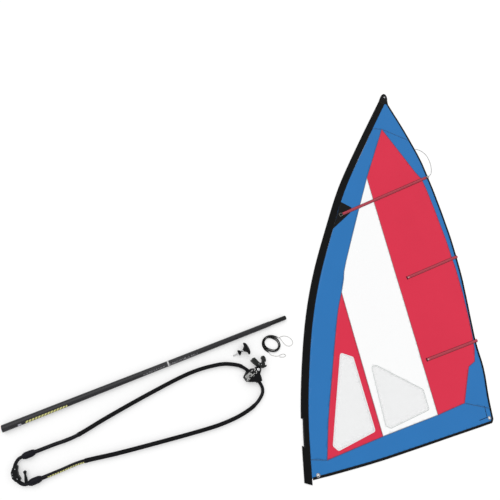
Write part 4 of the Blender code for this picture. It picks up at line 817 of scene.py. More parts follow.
tape_weave = webbing("edge_tape_weave", (0.0030, 0.0030, 0.0035), 0.0022, (-0.0190,))
tape_profile = [(-0.024, 0.0019), (-0.024, 0.0037), (-0.022, 0.0042), (-0.003, 0.0040), (-0.0008, 0.0031),
                (0.0, 0.0019), (-0.0008, 0.0008), (-0.003, 0.0003), (-0.024, 0.0008)]
tape_run = stepped(leech_edge) + smooth_line([leech_edge[-1]] + clew_corner + foot_edge[:1], 4)[1:-1]
tape_run += stepped(foot_edge + [Vector((0.079, 0.0415))])
edge_binding = run_strip("edge_tape_binding", tape_run, tape_profile, tape_weave)
fit(edge_binding, "root", "black_tape", "leech_tape", "foot_tape")

# Luff sleeve: black polyester folded round the front edge into a flat tunnel for the mast, open at its foot,
# with a cut-out for the boom clamp, and sewn down along its inner edge.

sleeve_weave = webbing("sleeve_weave", (0.0022, 0.0024, 0.0026), 0.0016, (0.0745, 0.0795), (0.025, 0.025, 0.03),
                       0.75, 0.0003)
cutout_from = 0.29
cutout_to = 0.515
cutout_depth = 0.020
binding_lap = 0.0048
sleeve_columns = [(0.083, 0.0031), (0.077, 0.0034), (0.0715, 0.0037), (0.067, 0.0056), (0.060, 0.0077),
                  (0.050, 0.0089), (0.040, 0.0094), (0.030, 0.0095), (0.020, 0.0091), (0.011, 0.0082),
                  (0.005, 0.0068), (0.0012, 0.0056), (0.0, 0.0044), (0.0012, 0.0030), (0.005, 0.0018),
                  (0.011, 0.0012), (0.020, 0.0010), (0.040, 0.0010), (0.060, 0.0010), (0.083, 0.0010)]
levels = sorted({round(sleeve_top * k / 150, 5) for k in range(151)} | {cutout_from, cutout_to})
levels = [y for y in levels if all(abs(y - c) > 0.008 or y == c for c in (cutout_from, cutout_to))]
sleeve_grid = []
for level in levels:
    front = at_level(luff_edge, level)
    row = []
    for inward, height in sleeve_columns:
        spot = front + Vector((inward, 0.0))
        crumple = 0.0005 * math.sin(31.0 * level + 60.0 * inward) + 0.0004 * math.sin(83.0 * level - 45.0 * inward)
        crumple *= min(1.0, max(0.0, (height - 0.0012) / 0.004))
        lifted = cloth_wave(spot.x, spot.y) * (inward / sleeve_width) ** 3
        row.append(on_sail(spot.x, spot.y, height + crumple + lifted))
    sleeve_grid.append(row)
cut_levels = [i for i, (low, high) in enumerate(zip(levels, levels[1:])) if cutout_from <= low and high <= cutout_to]
cut_columns = [k for k, pair in enumerate(zip(sleeve_columns, sleeve_columns[1:]))
               if max(column[0] for column in pair) <= cutout_depth]
sleeve = skin("luff_sleeve_tunnel", sleeve_grid, lambda i, k: (levels[i], sleeve_columns[k][0]), sleeve_weave,
              open_side=True, left_out={(i, k) for i in cut_levels for k in cut_columns})
if max(sleeve.data.polygons, key=lambda f: f.center.z).normal.z < 0.0:
    sleeve.data.flip_normals()
thicken(sleeve, 0.0009)
fit(sleeve, "root", "sleeve_cloth", "luff_sleeve_under", "luff_sleeve_over", "luff_sleeve_fold", "luff_sleeve_seam")

binding_weave = webbing("binding_weave", (0.016, 0.016, 0.019), 0.0020, (0.0,), (0.06, 0.06, 0.065))
binding_profile = [(-0.0045, 0.0078), (-0.0045, 0.0100), (0.0045, 0.0100), (0.0045, 0.0078)]
below = at_level(luff_edge, cutout_from - binding_lap)
above = at_level(luff_edge, cutout_to + binding_lap)
outside, inside = Vector((0.013, 0.0)), Vector((cutout_depth + binding_lap, 0.0))
cutout_run = [below + outside, below + inside]
cutout_run += [p + inside for p in between_levels(luff_edge, cutout_from, cutout_to)]
cutout_run += [above + inside, above + outside]
cutout_binding = run_strip("cutout_binding", stepped(cutout_run, 0.02), binding_profile, binding_weave)
fit(cutout_binding, "root", "black_tape")

# Luff patch and head webbing: heavy black webbing. The patch spreads the top batten's pull over the luff, and
# the webbing wraps the head round a pressed eye.

patch_weave = webbing("patch_weave", (0.0055, 0.0055, 0.006), 0.0030, depth=0.0005)
patch_outline = [Vector((-0.121, 2.818)), Vector((-0.122, 2.746))] + between_levels(luff_seam, 2.48, 2.83)
patch_cloth = lay_sheet("luff_patch_cloth", [patch_outline], patch_weave, thickness=0.0012, level=0.0012)
fit(patch_cloth, "root", "black_tape", "luff_patch")
patch_thread = webbing("luff_patch_stitching_thread", (0.0055, 0.0055, 0.006), 0.0030, (0.0,))
patch_inner = round_off(patch_outline, 0.004, 2)
patch_run = stepped(beside(patch_inner + patch_inner[:2], -0.007)[:-1], 0.03)
row_profile = [(-0.0022, 0.0032), (-0.0022, 0.0040), (0.0022, 0.0040), (0.0022, 0.0032)]
patch_row = fit(run_strip("luff_patch_stitching", patch_run, row_profile, patch_thread), "root", "black_tape")
cut_area(patch_outline)


def cast_from(node, name, material, round_over, segments, body, slot):
    """A moulded piece: a merged copy of the frame's solid with its edges rounded over, fitted in its place."""
    source = bpy.data.objects[node]
    shape = bmesh.new()
    shape.from_mesh(source.data)
    bmesh.ops.remove_doubles(shape, verts=shape.verts, dist=0.00002)
    bmesh.ops.dissolve_limit(shape, angle_limit=math.radians(2.0), verts=shape.verts, edges=shape.edges)
    bmesh.ops.recalc_face_normals(shape, faces=shape.faces)
    made = from_shape(name, shape, material)
    made.matrix_world = source.matrix_world.copy()
    rounding = made.modifiers.new("rounding", "BEVEL")
    rounding.width = round_over
    rounding.segments = segments
    rounding.limit_method = "ANGLE"
    rounding.angle_limit = math.radians(30)
    apply_all(made)
    smooth_by(made, 35)
    fit(made, body, slot, node)


def object_weave(name, colour, pitch):
    """Webbing on a piece without a lay of its own: ribs read from the piece's own place, with painted shade between
    them and painted highlights on them.
    """
    made = finish(name, colour, 0.75, Specular_IOR_Level=0.10, Sheen_Weight=0.015)
    place = own_place(made)
    ribs = wire(made, "ShaderNodeTexWave", {"Vector": place, "Scale": 1.0 / pitch / 2.0, "Distortion": 0.4,
                                            "Detail": 1.0}, 1, wave_type="BANDS", bands_direction="DIAGONAL")
    # Painted shade and highlight: the ribs are painted lighter on their crowns and darker between them.
    tint = mixed(ribs, shade_of(colour, 0.7), shade_of(colour, 1.5, 0.002))
    to_shader(mixed(noise(place, 60.0, 4.0) * 0.35, tint, shade_of(colour, 1.8, 0.006)), "Base Color")
    raise_surface(ribs, 0.0004, 0.6)
    return made


head_weave = object_weave("head_webbing_weave", (0.006, 0.006, 0.0065), 0.0030)
cast_from("head_webbing", "head_webbing_wrap", head_weave, 0.0014, 2, "root", "black_tape")

# Eyes: two-part pressed rings of stainless steel, turned over the webbing and foot panel, polished by use. The
# clew and the tack have the same large ring, and the head a smaller one.


def metal(name, colour, roughness):
    """Turned or pressed metal: fine turning marks, and duller patches from handling."""
    made = finish(name, colour, roughness, 1.0)
    place = own_place(made)
    smear = noise(place, 70.0, 4.0)
    to_shader(smear * 0.24 + (roughness - 0.12), "Roughness")
    to_shader(mixed(smear, shade_of(colour, 0.82), shade_of(colour, 1.1)), "Base Color")
    raise_surface(noise(place, 900.0, 3.0), 0.0001, 0.35)
    return made


def turn_piece(name, profile, centre, axis_turn, material, sides=72, smooth_angle=30.0, closed=True):
    """A piece turned about its own axis: a circle is added, then pulled and sized along the profile.

    The profile is given as (radius, distance along the axis); axis_turn maps Z to the piece's axis."""
    thinnest = 0.00005
    bpy.ops.object.select_all(action="DESELECT")
    first = max(profile[0][0], thinnest)
    bpy.ops.mesh.primitive_circle_add(vertices=sides, radius=first, location=(0.0, 0.0, profile[0][1]))
    made = bpy.context.object
    made.name = name
    made.data.name = name
    bpy.ops.object.transform_apply(location=True)
    bpy.ops.object.mode_set(mode="EDIT")
    bpy.ops.mesh.select_all(action="SELECT")
    reached = Vector((first, profile[0][1]))
    for radius, place in profile[1:] + (profile[:1] if closed else []):
        bpy.ops.mesh.extrude_region_move(TRANSFORM_OT_translate={"value": (0.0, 0.0, place - reached.y)})
        wide = max(radius, thinnest)
        share = wide / reached.x
        bpy.ops.transform.resize(value=(share, share, 1.0), center_override=(0.0, 0.0, place))
        reached = Vector((wide, place))
    bpy.ops.mesh.select_all(action="SELECT")
    bpy.ops.mesh.remove_doubles(threshold=0.00008 if closed else 0.00001)
    bpy.ops.object.mode_set(mode="OBJECT")
    if not closed:
        shape = bmesh.new()
        shape.from_mesh(made.data)
        bmesh.ops.holes_fill(shape, edges=[e for e in shape.edges if e.is_boundary], sides=0)
        shape.to_mesh(made.data)
        shape.free()
    bpy.ops.object.mode_set(mode="EDIT")
    bpy.ops.mesh.select_all(action="SELECT")
    bpy.ops.mesh.normals_make_consistent(inside=False)
    bpy.ops.object.mode_set(mode="OBJECT")
    lay = made.data.uv_layers.new(name="lay")
    for face in made.data.polygons:
        turns = [math.atan2(made.data.vertices[v].co.y, made.data.vertices[v].co.x) / math.tau % 1.0
                 for v in face.vertices]
        for corner, vertex, turn in zip(face.loop_indices, face.vertices, turns):
            wrap = 1.0 if max(turns) - turn > 0.5 else 0.0
            lay.data[corner].uv = (made.data.vertices[vertex].co.z, turn + wrap)
    made.matrix_world = Matrix.Translation(centre) @ axis_turn.to_4x4()
    bpy.ops.object.transform_apply(location=True, rotation=True, scale=True)
    made.data.materials.append(material)
    bpy.ops.object.shade_smooth_by_angle(angle=math.radians(smooth_angle))
    return made


upright = Matrix.Identity(3)
eye_steel = metal("eye_steel", (0.42, 0.43, 0.45), 0.34)
ring_profile = [(0.0100, 0.0008), (0.0104, 0.0002), (0.0118, 0.0), (0.0188, 0.0003), (0.0198, 0.0012),
                (0.0200, 0.0024), (0.0198, 0.0038), (0.0190, 0.0050), (0.0176, 0.0058), (0.0158, 0.0062),
                (0.0140, 0.0062), (0.0122, 0.0058), (0.0108, 0.0048), (0.0100, 0.0030)]
for name, place in (("clew_eye", clew_eye_at), ("tack_eye", tack_eye_at)):
    eye = turn_piece(f"{name}_ring", ring_profile, on_sail(*place, 0.0), upright, eye_steel, 64, 35.0)
    fit(eye, "root", "steel", name)
head_eye_profile = [(0.0066, 0.0004), (0.0072, 0.0001), (0.0105, 0.0001), (0.0115, 0.0007), (0.0090, 0.0009),
                    (0.0086, 0.0030), (0.0090, 0.0058), (0.0115, 0.0060), (0.0122, 0.0066), (0.0112, 0.0073),
                    (0.0092, 0.0076), (0.0074, 0.0072), (0.0066, 0.0062)]
head_eye = turn_piece("head_eye_ring", head_eye_profile, on_sail(*head_eye_at, 0.0), upright, eye_steel, 48, 35.0)
fit(head_eye, "root", "steel")

# Corner stitching: two short reinforcing rows beside the clew eye, sewn in dark thread. Both are narrow strips
# laid on the foot panel.

corner_thread = webbing("clew_corner_thread", (0.010, 0.022, 0.055), 0.0030, (0.0,), (0.004, 0.008, 0.02))
corner_profile = [(-0.0030, 0.0022), (-0.0030, 0.0036), (0.0030, 0.0036), (0.0030, 0.0022)]
for number, run in enumerate((((1.830, 1.194), (1.873, 1.095)), ((1.784, 1.034), (1.882, 1.094))), start=1):
    corner_row = run_strip(f"clew_corner_row_{number}", stepped(run, 0.02), corner_profile, corner_thread)
    fit(corner_row, "root", "black_tape")

# Batten pockets: a strip of red cloth sewn down both sides makes a channel that bulges over its batten. The
# battens are 8 mm glass-fibre rods, seen only as the bulge, and the upper pocket reaches over the luff patch.


def pocket_rise(place):
    """The bulge dies out where the batten stops short of the pocket's sewn inner end."""
    return min(1.0, 0.12 + place * 16.0)


pocket_cloth = finish("pocket_cloth_weave", (0.44, 0.024, 0.042), 0.62, Specular_IOR_Level=0.12)
pocket_sewn, pocket_along, pocket_aside = sewn_rows(pocket_cloth, (-0.0142, 0.0142), thread=0.0009)
pocket_yarns = math.tau / 0.0014
pocket_weave = crossed(pocket_along * pocket_yarns, pocket_aside * pocket_yarns)
pocket_wear = noise(lay_of(pocket_cloth)[0], 18.0, 4.0) * 0.5
# Painted shade and highlight: the pocket cloth's weave is painted darker in its gaps and lighter on its crowns.
pocket_tint = mixed(pocket_weave, (0.38, 0.040, 0.065), (0.52, 0.075, 0.105))
pocket_tint = mixed(pocket_wear, pocket_tint, (0.46, 0.085, 0.110))
pocket_tint = mixed(abs(pocket_aside).ramp(0.0126, 0.0142), pocket_tint, (0.13, 0.012, 0.022))
to_shader(mixed(pocket_sewn, pocket_tint, (0.06, 0.008, 0.012)), "Base Color")
raise_surface(pocket_sewn * 1.5 + pocket_weave, 0.0004, 0.7)
rod_fibre = finish("batten_glass_fibre", (0.55, 0.55, 0.52), 0.4)
rod_grain = noise(own_place(rod_fibre), 240.0, 3.0)
to_shader(mixed(rod_grain, (0.45, 0.45, 0.42), (0.62, 0.62, 0.58)), "Base Color")
raise_surface(rod_grain, 0.0002, 0.5)
pocket_cap = webbing("pocket_cap_weave", (0.008, 0.008, 0.009), 0.0022, (0.0,), (0.03, 0.03, 0.035))
pocket_half = [(-0.0170, 0.0), (-0.0170, 0.0011), (-0.0125, 0.0013), (-0.0085, 0.0022), (-0.0062, 0.0044),
               (-0.0046, 0.0070), (-0.0024, 0.0088)]
pocket_profile = pocket_half + [(0.0, 0.0094)] + [(-a, h) for a, h in pocket_half[::-1]]
for number, (inner, outer) in enumerate(battens, start=1):
    start, end = Vector(inner), Vector(outer)
    top_batten = number == 1
    lie = 0.0043 if top_batten else 0.0028
    profile = [(a, h + lie) for a, h in pocket_profile]
    line = stepped([start, start.lerp(end, 0.02), start.lerp(end, 0.05), end], 0.03)
    pocket = run_strip(f"batten_pocket_{number}_cloth", line, profile, pocket_cloth,
                       lift=None if top_batten else pocket_rise)
    fit(pocket, "root", "pocket_cloth", f"batten_pocket_{number}")
    way = (end - start).normalized()
    cap_ends = [end - way * 0.010, end - way * 0.001] if top_batten else [start - way * 0.003, start + way * 0.009]
    cap_height = 0.0100 if top_batten else 0.0030
    cap_half = 0.0120 if top_batten else 0.0178
    half_profile = [(-cap_half, lie - 0.0004), (-cap_half, lie + 0.0016), (-0.0070, lie + cap_height * 0.45),
                    (-0.0050, lie + cap_height * 0.85)]
    cap_profile = half_profile + [(0.0, lie + cap_height + 0.0004)] + [(-a, h) for a, h in half_profile[::-1]]
    cap = run_strip(f"batten_pocket_{number}_end", stepped(cap_ends, 0.01), cap_profile, pocket_cap)
    fit(cap, "root", "black_tape")
    for slot in bpy.data.objects[f"batten_{number}"].material_slots:
        slot.material = rod_fibre

# Top batten's fittings: a grey moulded cap at the leech, and a webbing strap with a wire buckle at the luff. The
# buckle rides on a body of its own, since it lifts.


def moulded(name, colour, roughness, speckle=0.35, scale=320.0):
    """Moulded plastic: fine texture from the tool, paler scuffs on it, and slightly uneven gloss."""
    made = finish(name, colour, roughness, Specular_IOR_Level=0.14)
    place = own_place(made)
    grain = noise(place, scale, 4.0, Roughness=0.6)
    scuffs = noise(place, 45.0, 6.0, Roughness=0.65).ramp(0.56, 0.74)
    tint = mixed(grain, shade_of(colour, 0.85), shade_of(colour, 1.2, 0.0005))
    to_shader(mixed(scuffs * speckle, tint, shade_of(colour, 1.5, 0.003)), "Base Color")
    to_shader(scuffs * 0.18 + roughness, "Roughness")
    raise_surface(grain, 0.00025, 0.4)
    return made


cap_plastic = moulded("batten_cap_plastic", (0.34, 0.34, 0.34), 0.42)
cast_from("batten_tip", "batten_tip_cap", cap_plastic, 0.0016, 3, "root", "grey_plastic")
strap_weave = object_weave("tension_strap_weave", (0.006, 0.006, 0.0065), 0.0022)
cast_from("tension_strap", "tension_strap_webbing", strap_weave, 0.0004, 2, "root", "black_tape")
buckle_steel = metal("buckle_steel", (0.30, 0.31, 0.27), 0.36)
cast_from("tension_buckle", "tension_buckle_wire", buckle_steel, 0.0014, 3, "buckle", "grey_plastic")

# Mast: the lower section of a two-piece mast, wound from carbon and glass fibre in clear resin. It is open at
# its butt, tapers to 49 mm, and ends in the ferrule that the top section fits over.

along_x = Matrix.Rotation(math.pi / 2, 3, "Y")
mast_angle = math.radians(19.7)
mast_length = 2.36
mast_taper = 1.24
mast_along = Vector((math.cos(mast_angle), math.sin(mast_angle), 0.0))
mast_tip_at = Vector((0.055, -0.658, 0.0))
ferrule_length = 0.18
butt_radius = 0.029
mast_radius = 0.0245
mast_turn = (Matrix.Rotation(mast_angle, 3, "Z")
             @ Matrix.Rotation(math.asin((butt_radius - mast_radius) / mast_length), 3, "Y") @ along_x)
butt_at = mast_tip_at - mast_along * (mast_length + ferrule_length) + Vector((0.0, 0.0, butt_radius))


def printed(base, marks, along, around, slant, kept=1.0):
    """Plain slanted dashes in bands, given as where they start and stop along it, the band's middle and half
    width round it, their step, the share of it that each one fills, and their colour."""
    slanted = around * slant + along
    for start, stop, middle, half, step, share, mark_colour in marks:
        bar = slanted.math("DIVIDE", step).math("FRACT") < share
        inside = abs(along - (start + stop) / 2) < (stop - start) / 2
        band = abs(around - middle) < half
        base = mixed(inside * band * bar * kept, base, mark_colour)
    return base


def wound_tube(name, colour, marks=()):
    """Filament-wound tube: crossing helical bands under resin, painted lighter on their crowns and darker between them
    as painted highlight and shade, rubbed along its top, with plain printed dashes.
    """
    made = finish(name, colour, 0.36, Specular_IOR_Level=0.26)
    lay, along, around = lay_of(made)
    run, turn = along * 260.0, around * (math.tau * 6)
    bands = crossed(run + turn, run - turn)
    cloud = noise(own_place(made), 24.0, 6.0, Roughness=0.62)
    rub = cloud.ramp(0.52, 0.80)
    # The crossing bands are the winding's own pattern; their lighter crowns and darker gaps, following the bump's
    # relief, are painted highlight and shade.
    base = mixed(bands, shade_of(colour, 0.72), shade_of(colour, 1.35))
    base = mixed(rub * 0.5, base, shade_of(colour, 2.2, 0.006))
    if marks:
        fleck_from, fleck_to = 1.11, 1.62
        near = abs(along - (fleck_from + fleck_to) / 2) < (fleck_to - fleck_from) / 2
        front = abs(around - 0.60) < 0.07
        speck = flecks(lay, 150.0, 34.0) < 0.42
        base = mixed(near * front * speck, base, (0.21, 0.21, 0.22))
        base = printed(base, marks, along, around, 0.10, cloud < 0.66)
    to_shader(base, "Base Color")
    to_shader(rub * 0.22 + 0.32, "Roughness")
    raise_surface(bands, 0.00012, 0.5)
    return made


dash_yellow = (0.70, 0.68, 0.26)
mast_finish = wound_tube("mast_wound_tube", (0.0200, 0.0200, 0.0225),
                         ((0.165, 0.480, 0.628, 0.062, 0.023, 0.72, dash_yellow),
                          (0.112, 0.140, 0.640, 0.060, 0.050, 0.90, (0.42, 0.42, 0.48))))
mast_wall = 0.004
mast_profile = [(butt_radius - 0.0012, 0.0), (butt_radius - 0.0003, 0.0004), (butt_radius, 0.0014)]
mast_profile += [(butt_radius - (butt_radius - mast_radius) * k / 8, mast_taper * k / 8) for k in range(1, 9)]
mast_profile += [(mast_radius, mast_length - 0.0012), (mast_radius - 0.0003, mast_length - 0.0003),
                 (mast_radius - 0.0012, mast_length), (mast_radius - mast_wall, mast_length),
                 (mast_radius - mast_wall, mast_taper), (butt_radius - mast_wall, 0.0008),
                 (butt_radius - mast_wall + 0.0004, 0.0)]
mast_tube = turn_piece("mast_wound_body", mast_profile, butt_at, mast_turn, mast_finish)
fit(mast_tube, "root", "carbon", "mast_tube")

ferrule_finish = wound_tube("ferrule_wound_tube", (0.0055, 0.0055, 0.0062))
ferrule_end = mast_length + ferrule_length
ferrule_profile = [
    (0.0176, ferrule_end), (0.0194, ferrule_end), (0.0199, ferrule_end - 0.0008), (0.0212, ferrule_end - 0.0042),
    (0.0212, mast_length + 0.0012), (0.0209, mast_length + 0.0004), (0.0202, mast_length + 0.0003),
    (0.0202, mast_length - 0.12), (0.0172, mast_length - 0.12), (0.0172, ferrule_end - 0.0006)]
ferrule = turn_piece("mast_ferrule_tube", ferrule_profile, butt_at, mast_turn, ferrule_finish)
fit(ferrule, "root", "carbon", "mast_ferrule")
ring_plastic = moulded("mast_ring_plastic", (0.52, 0.52, 0.52), 0.4)
ring_from = mast_taper + 0.09
band_profile = [(mast_radius + rise, ring_from + place) for rise, place in (
    (0.0003, 0.0), (0.0010, 0.0), (0.0015, 0.0006), (0.0015, 0.0134), (0.0010, 0.014), (0.0003, 0.014))]
fit(turn_piece("mast_ring_band", band_profile, butt_at, mast_turn, ring_plastic), "root", "grey_plastic", "mast_ring")

# Boom arms: 31 mm aluminium tube bent to the wishbone's bow and anodised black. A thin foam grip is bonded
# round each arm for nearly its whole length, with moulded ribs for the hands.

boom_angle = math.radians(17.85)
boom_height = 0.0275
arm_radius = 0.0155
arm_bore = 0.0136
grip_radius = 0.0175
grip_from, grip_to = 0.118, 1.585
arm_reach = 1.941
arm_straight = 0.340
rear_spread = 0.100
bow_half_width = 0.252
head_back = 0.472
mast_to_boom = 0.124
mast_side = Vector((mast_along.y, -mast_along.x, 0.0))
head_at = (mast_tip_at - mast_along * head_back
           + mast_side * (mast_radius + mast_to_boom + arm_radius + bow_half_width)
           + Vector((0.0, 0.0, boom_height)))
boom_turn = Matrix.Rotation(boom_angle, 3, "Z")


def on_boom(back, side, height=0.0):
    """A point given as distance behind the boom's head, distance to its side, and height from its middle."""
    return head_at + boom_turn @ Vector((-back, side, height))


def draw_tube(name, line, radius, bore, material):
    """A hollow tube bent along a route, its lay in metres along it and turns round it from underneath."""
    sides = 36
    skins = {radius: [], bore: []}
    for point, way in zip(line, ways_of(line)):
        down = Vector((0.0, 0.0, -1.0))
        down = (down - way * down.dot(way)).normalized()
        for wide, rings in skins.items():
            rings.append(ring_round(point, down, way.cross(down), wide, sides))
    grid = [[ring[k] for ring in skins[radius] + skins[bore][::-1]] for k in range(sides)]
    run = distances(line)
    run = run + run[::-1] + run[:1]
    made = skin(name, grid, lambda i, k: (run[k], i / sides), material, looped=True)
    smooth_by(made, 40)
    return made


def anodised(name, colour, marks=()):
    """Black anodised tube: faint drawing lines along it, a satin face, and bright rubs where fittings slide."""
    made = finish(name, colour, 0.38, 0.35, Specular_IOR_Level=0.14)
    lay, along, around = lay_of(made)
    drawn = noise(wire(made, "ShaderNodeMapping", {0: lay, 3: (6.0, 130.0, 1.0)}), 1.0, 4.0)
    rub = noise(own_place(made), 30.0, 6.0, Roughness=0.6).ramp(0.56, 0.78)
    base = mixed(drawn, shade_of(colour, 0.8), shade_of(colour, 1.5))
    base = mixed(rub * 0.5, base, shade_of(colour, 2.5, 0.008))
    to_shader(printed(base, marks, along, around, 0.06), "Base Color")
    to_shader(rub * 0.15 + 0.36, "Roughness")
    raise_surface(drawn, 0.00008, 0.4)
    return made


upper_arm = ((1.353, 0.146), (1.040, 0.197), (0.705, 0.242), (0.520, bow_half_width), (0.365, 0.240), (0.254, 0.217),
             (0.150, 0.168), (0.104, 0.127), (0.072, 0.083), (0.050, 0.048))
lower_arm = ((1.343, -0.143), (1.053, -0.184), (0.746, -0.224), (0.532, -0.2475), (0.400, -0.253), (0.285, -0.248),
             (0.174, -0.230), (0.105, -0.207), (0.058, -0.181), (0.018, -0.147), (0.001, -0.112), (0.000, -0.078),
             (0.007, -0.046), (0.015, -0.012))
arms = (("upper", upper_arm, 1.0), ("lower", lower_arm, -1.0))
grip_foam = finish("boom_grip_foam", (0.0045, 0.0045, 0.0055), 0.82, Specular_IOR_Level=0.10)
grip_along, grip_round = lay_of(grip_foam)[1:]
grip_ribs = (grip_along * (math.tau / 0.0060)).wave()
grip_pads = grip_ribs.math("MAXIMUM", (grip_round * (math.tau * 16)).wave()).ramp(0.2, 0.9)
grip_rub = noise(own_place(grip_foam), 8.0, 4.0) * 0.4
# Painted shade and highlight: the foam is painted darker in the grooves and lighter on the raised ribs and pads.
grip_pad_shading = mixed(grip_pads, (0.0020, 0.0020, 0.0028), (0.0065, 0.0065, 0.0078))
to_shader(mixed(grip_rub, grip_pad_shading, (0.020, 0.020, 0.021)), "Base Color")
raise_surface(noise(own_place(grip_foam), 700.0, 3.0) * 0.3 + grip_pads, 0.0005, 0.7)
arm_black = (0.0065, 0.0065, 0.0085)
arm_plain = anodised("boom_arm_anodised", arm_black)
arm_marked = anodised("boom_arm_marked", arm_black, ((0.085, 0.355, 0.608, 0.066, 0.019, 0.70, dash_yellow),))
for name, points, side in arms:
    rear = [(arm_reach - arm_straight / 2, side * rear_spread), (arm_reach - arm_straight, side * rear_spread)]
    bow = smooth_line([on_boom(*p) for p in rear + list(points)], 10)
    route = [on_boom(arm_reach, side * rear_spread)] + bow
    arm = draw_tube(f"boom_arm_{name}_tube", route, arm_radius, arm_bore, arm_marked if side < 0 else arm_plain)
    fit(arm, "root", "black_alloy", f"boom_arm_{name}")
    backs = [(p, -(boom_turn.inverted() @ (p - head_at)).x) for p in route]
    held = [p for p, back in backs if grip_from <= back <= grip_to]
    grip_bore = arm_radius + 0.00005
    grip = draw_tube(f"boom_grip_{name}_foam", held, grip_radius, grip_bore, grip_foam)
    fit(grip, "root", "grip_foam", f"boom_grip_{name}")
    for number, (tip, beyond) in enumerate(((held[0], held[1]), (held[-1], held[-2])), start=1):
        way = (beyond - tip).normalized()
        cuff_run = [tip + way * along for along in (-0.001, 0.011, 0.022)]
        cuff = draw_tube(f"boom_grip_{name}_cuff_{number}", cuff_run, grip_radius + 0.0004, grip_bore, grip_foam)
        fit(cuff, "root", "grip_foam")

# Adjustment clips: a moulded collar clamps each arm's rear end on the sliding leg, with a cam lever let into
# its outer side and ribs for the fingers.

clip_plastic = moulded("boom_clip_plastic", (0.0055, 0.0055, 0.0095), 0.48)
lever_plastic = moulded("boom_lever_plastic", (0.0085, 0.0085, 0.0120), 0.42)
clip_radius = 0.0275
clip_turn = boom_turn @ along_x
recess_front, recess_back = 0.0246, -0.0376
recess_aside = 0.0330
recess_size = (0.0622, 0.0276, 0.0186)
for name, points, side in arms:
    at = on_boom(arm_reach, side * rear_spread)
    ribs = []
    for k in range(6):
        place = -0.027 + k * 0.0075
        ribs += [(clip_radius - 0.0007, place), (clip_radius, place + 0.0010), (clip_radius, place + 0.0050),
                 (clip_radius - 0.0007, place + 0.0060)]
    profile = [(0.0160, -0.0003), (0.0134, -0.0005), (0.0134, -0.0490), (0.0140, -0.0500), (0.0176, -0.0500),
               (0.0188, -0.0494), (0.0196, -0.0478), (0.0230, -0.0390), (0.0262, -0.0310)] + ribs + [
               (0.0262, 0.0210), (0.0232, 0.0300), (0.0200, 0.0380), (0.0188, 0.0396), (0.0176, 0.0400),
               (0.0160, 0.0400)]
    clip = turn_piece(f"boom_clip_{name}_collar", profile, at, clip_turn, clip_plastic)
    recess_at = at + boom_turn @ Vector(((recess_front + recess_back) / 2, side * recess_aside, 0.0))
    bpy.ops.object.select_all(action="DESELECT")
    bpy.ops.mesh.primitive_cube_add(size=1.0)
    pocket_block = bpy.context.object
    pocket_block.matrix_world = (Matrix.Translation(recess_at) @ boom_turn.to_4x4()
                                 @ Matrix.Diagonal((*recess_size, 1.0)))
    bpy.ops.object.transform_apply(location=True, rotation=True, scale=True)
    let_in = clip.modifiers.new("recess", "BOOLEAN")
    let_in.operation = "DIFFERENCE"
    let_in.solver = "EXACT"
    let_in.object = pocket_block
    apply_all(clip)
    bpy.data.objects.remove(pocket_block)
    smooth_by(clip, 30)
    fit(clip, "root", "black_plastic", f"boom_clip_{name}")
    cast_from(f"boom_lever_{name}", f"boom_lever_{name}_cam", lever_plastic, 0.0011, 3, f"lever_{name}",
              "black_plastic")

# Boom tail: two thinner legs slide in the arms and meet in a moulded end, where two grooved rollers on a
# stainless staple lead the outhaul, and a horn cleat stands on the lower leg.

leg_radius = 0.0131
leg_bore = 0.0112
leg_inside = 0.320
roller_back, roller_aside = 0.139, 0.0105
leg_bend = ((0.055, 0.100), (0.075, 0.0965), (0.093, 0.084), (0.109, 0.064), (0.118, 0.044), (0.121, 0.027))
leg_finish = anodised("tail_leg_anodised", arm_black)
for name, points, side in arms:
    run = [on_boom(arm_reach + back, side * spread) for back, spread in leg_bend]
    route = ([on_boom(arm_reach - leg_inside, side * rear_spread), on_boom(arm_reach - 0.10, side * rear_spread),
              on_boom(arm_reach + leg_bend[0][0] / 2, side * rear_spread)] + smooth_line(run, 8))
    leg = draw_tube(f"tail_leg_{name}_tube", route, leg_radius, leg_bore, leg_finish)
    fit(leg, "boom_tail", "black_alloy", f"tail_leg_{name}")
end_plastic = moulded("tail_end_plastic", (0.0035, 0.0042, 0.0050), 0.46)
cast_from("tail_end", "tail_end_moulding", end_plastic, 0.0042, 4, "boom_tail", "black_plastic")
cast_from("tail_cleat", "tail_horn_cleat", end_plastic, 0.0024, 4, "boom_tail", "black_plastic")
roller_plastic = moulded("tail_roller_plastic", (0.30, 0.30, 0.29), 0.36)
roller_half = [(0.0028, 0.0044), (0.0031, 0.0045), (0.0078, 0.0045), (0.0084, 0.0042), (0.0085, 0.0036),
               (0.0083, 0.0030), (0.0070, 0.0018), (0.0058, 0.0008)]
roller_profile = [(r, -place) for r, place in roller_half] + [(0.0055, 0.0)] + roller_half[::-1]
for name, points, side in arms:
    roller_at = on_boom(arm_reach + roller_back, side * roller_aside)
    roller = turn_piece(f"tail_roller_{name}_sheave", roller_profile, roller_at, boom_turn, roller_plastic, 48)
    fit(roller, f"roller_{name}", "grey_plastic", f"tail_roller_{name}")
fitting_steel = metal("fitting_steel", (0.50, 0.51, 0.53), 0.30)
cast_from("roller_staple", "roller_staple_pins", fitting_steel, 0.0006, 2, "boom_tail", "steel")


def socket_screw(name, centre, turn, radius, body):
    """A button-head screw with a hexagon socket, sunk a little into what it holds."""
    head = 0.0022
    profile = [(radius * wide, head * rise) for wide, rise in (
        (1.0, 0.25), (0.93, 0.60), (0.74, 0.90), (0.50, 1.0), (0.42, 1.0), (0.40, 0.35), (0.0, 0.35))]
    screw = turn_piece(name, [(radius, -0.0006)] + profile, centre, turn, fitting_steel, 24, 40.0, False)
    fit(screw, body, "steel")


for number, side in enumerate((0.036, -0.036), start=1):
    screw_at = on_boom(arm_reach + 0.1135, side, 0.0219)
    socket_screw(f"tail_end_screw_{number}", screw_at, boom_turn, 0.0038, "boom_tail")

# Boom head: a moulded yoke takes both arms, a clamp swivels on its bolt, and the clamp's jaw closes on the
# mast. A lashing of flecked rope runs five times across the yoke.

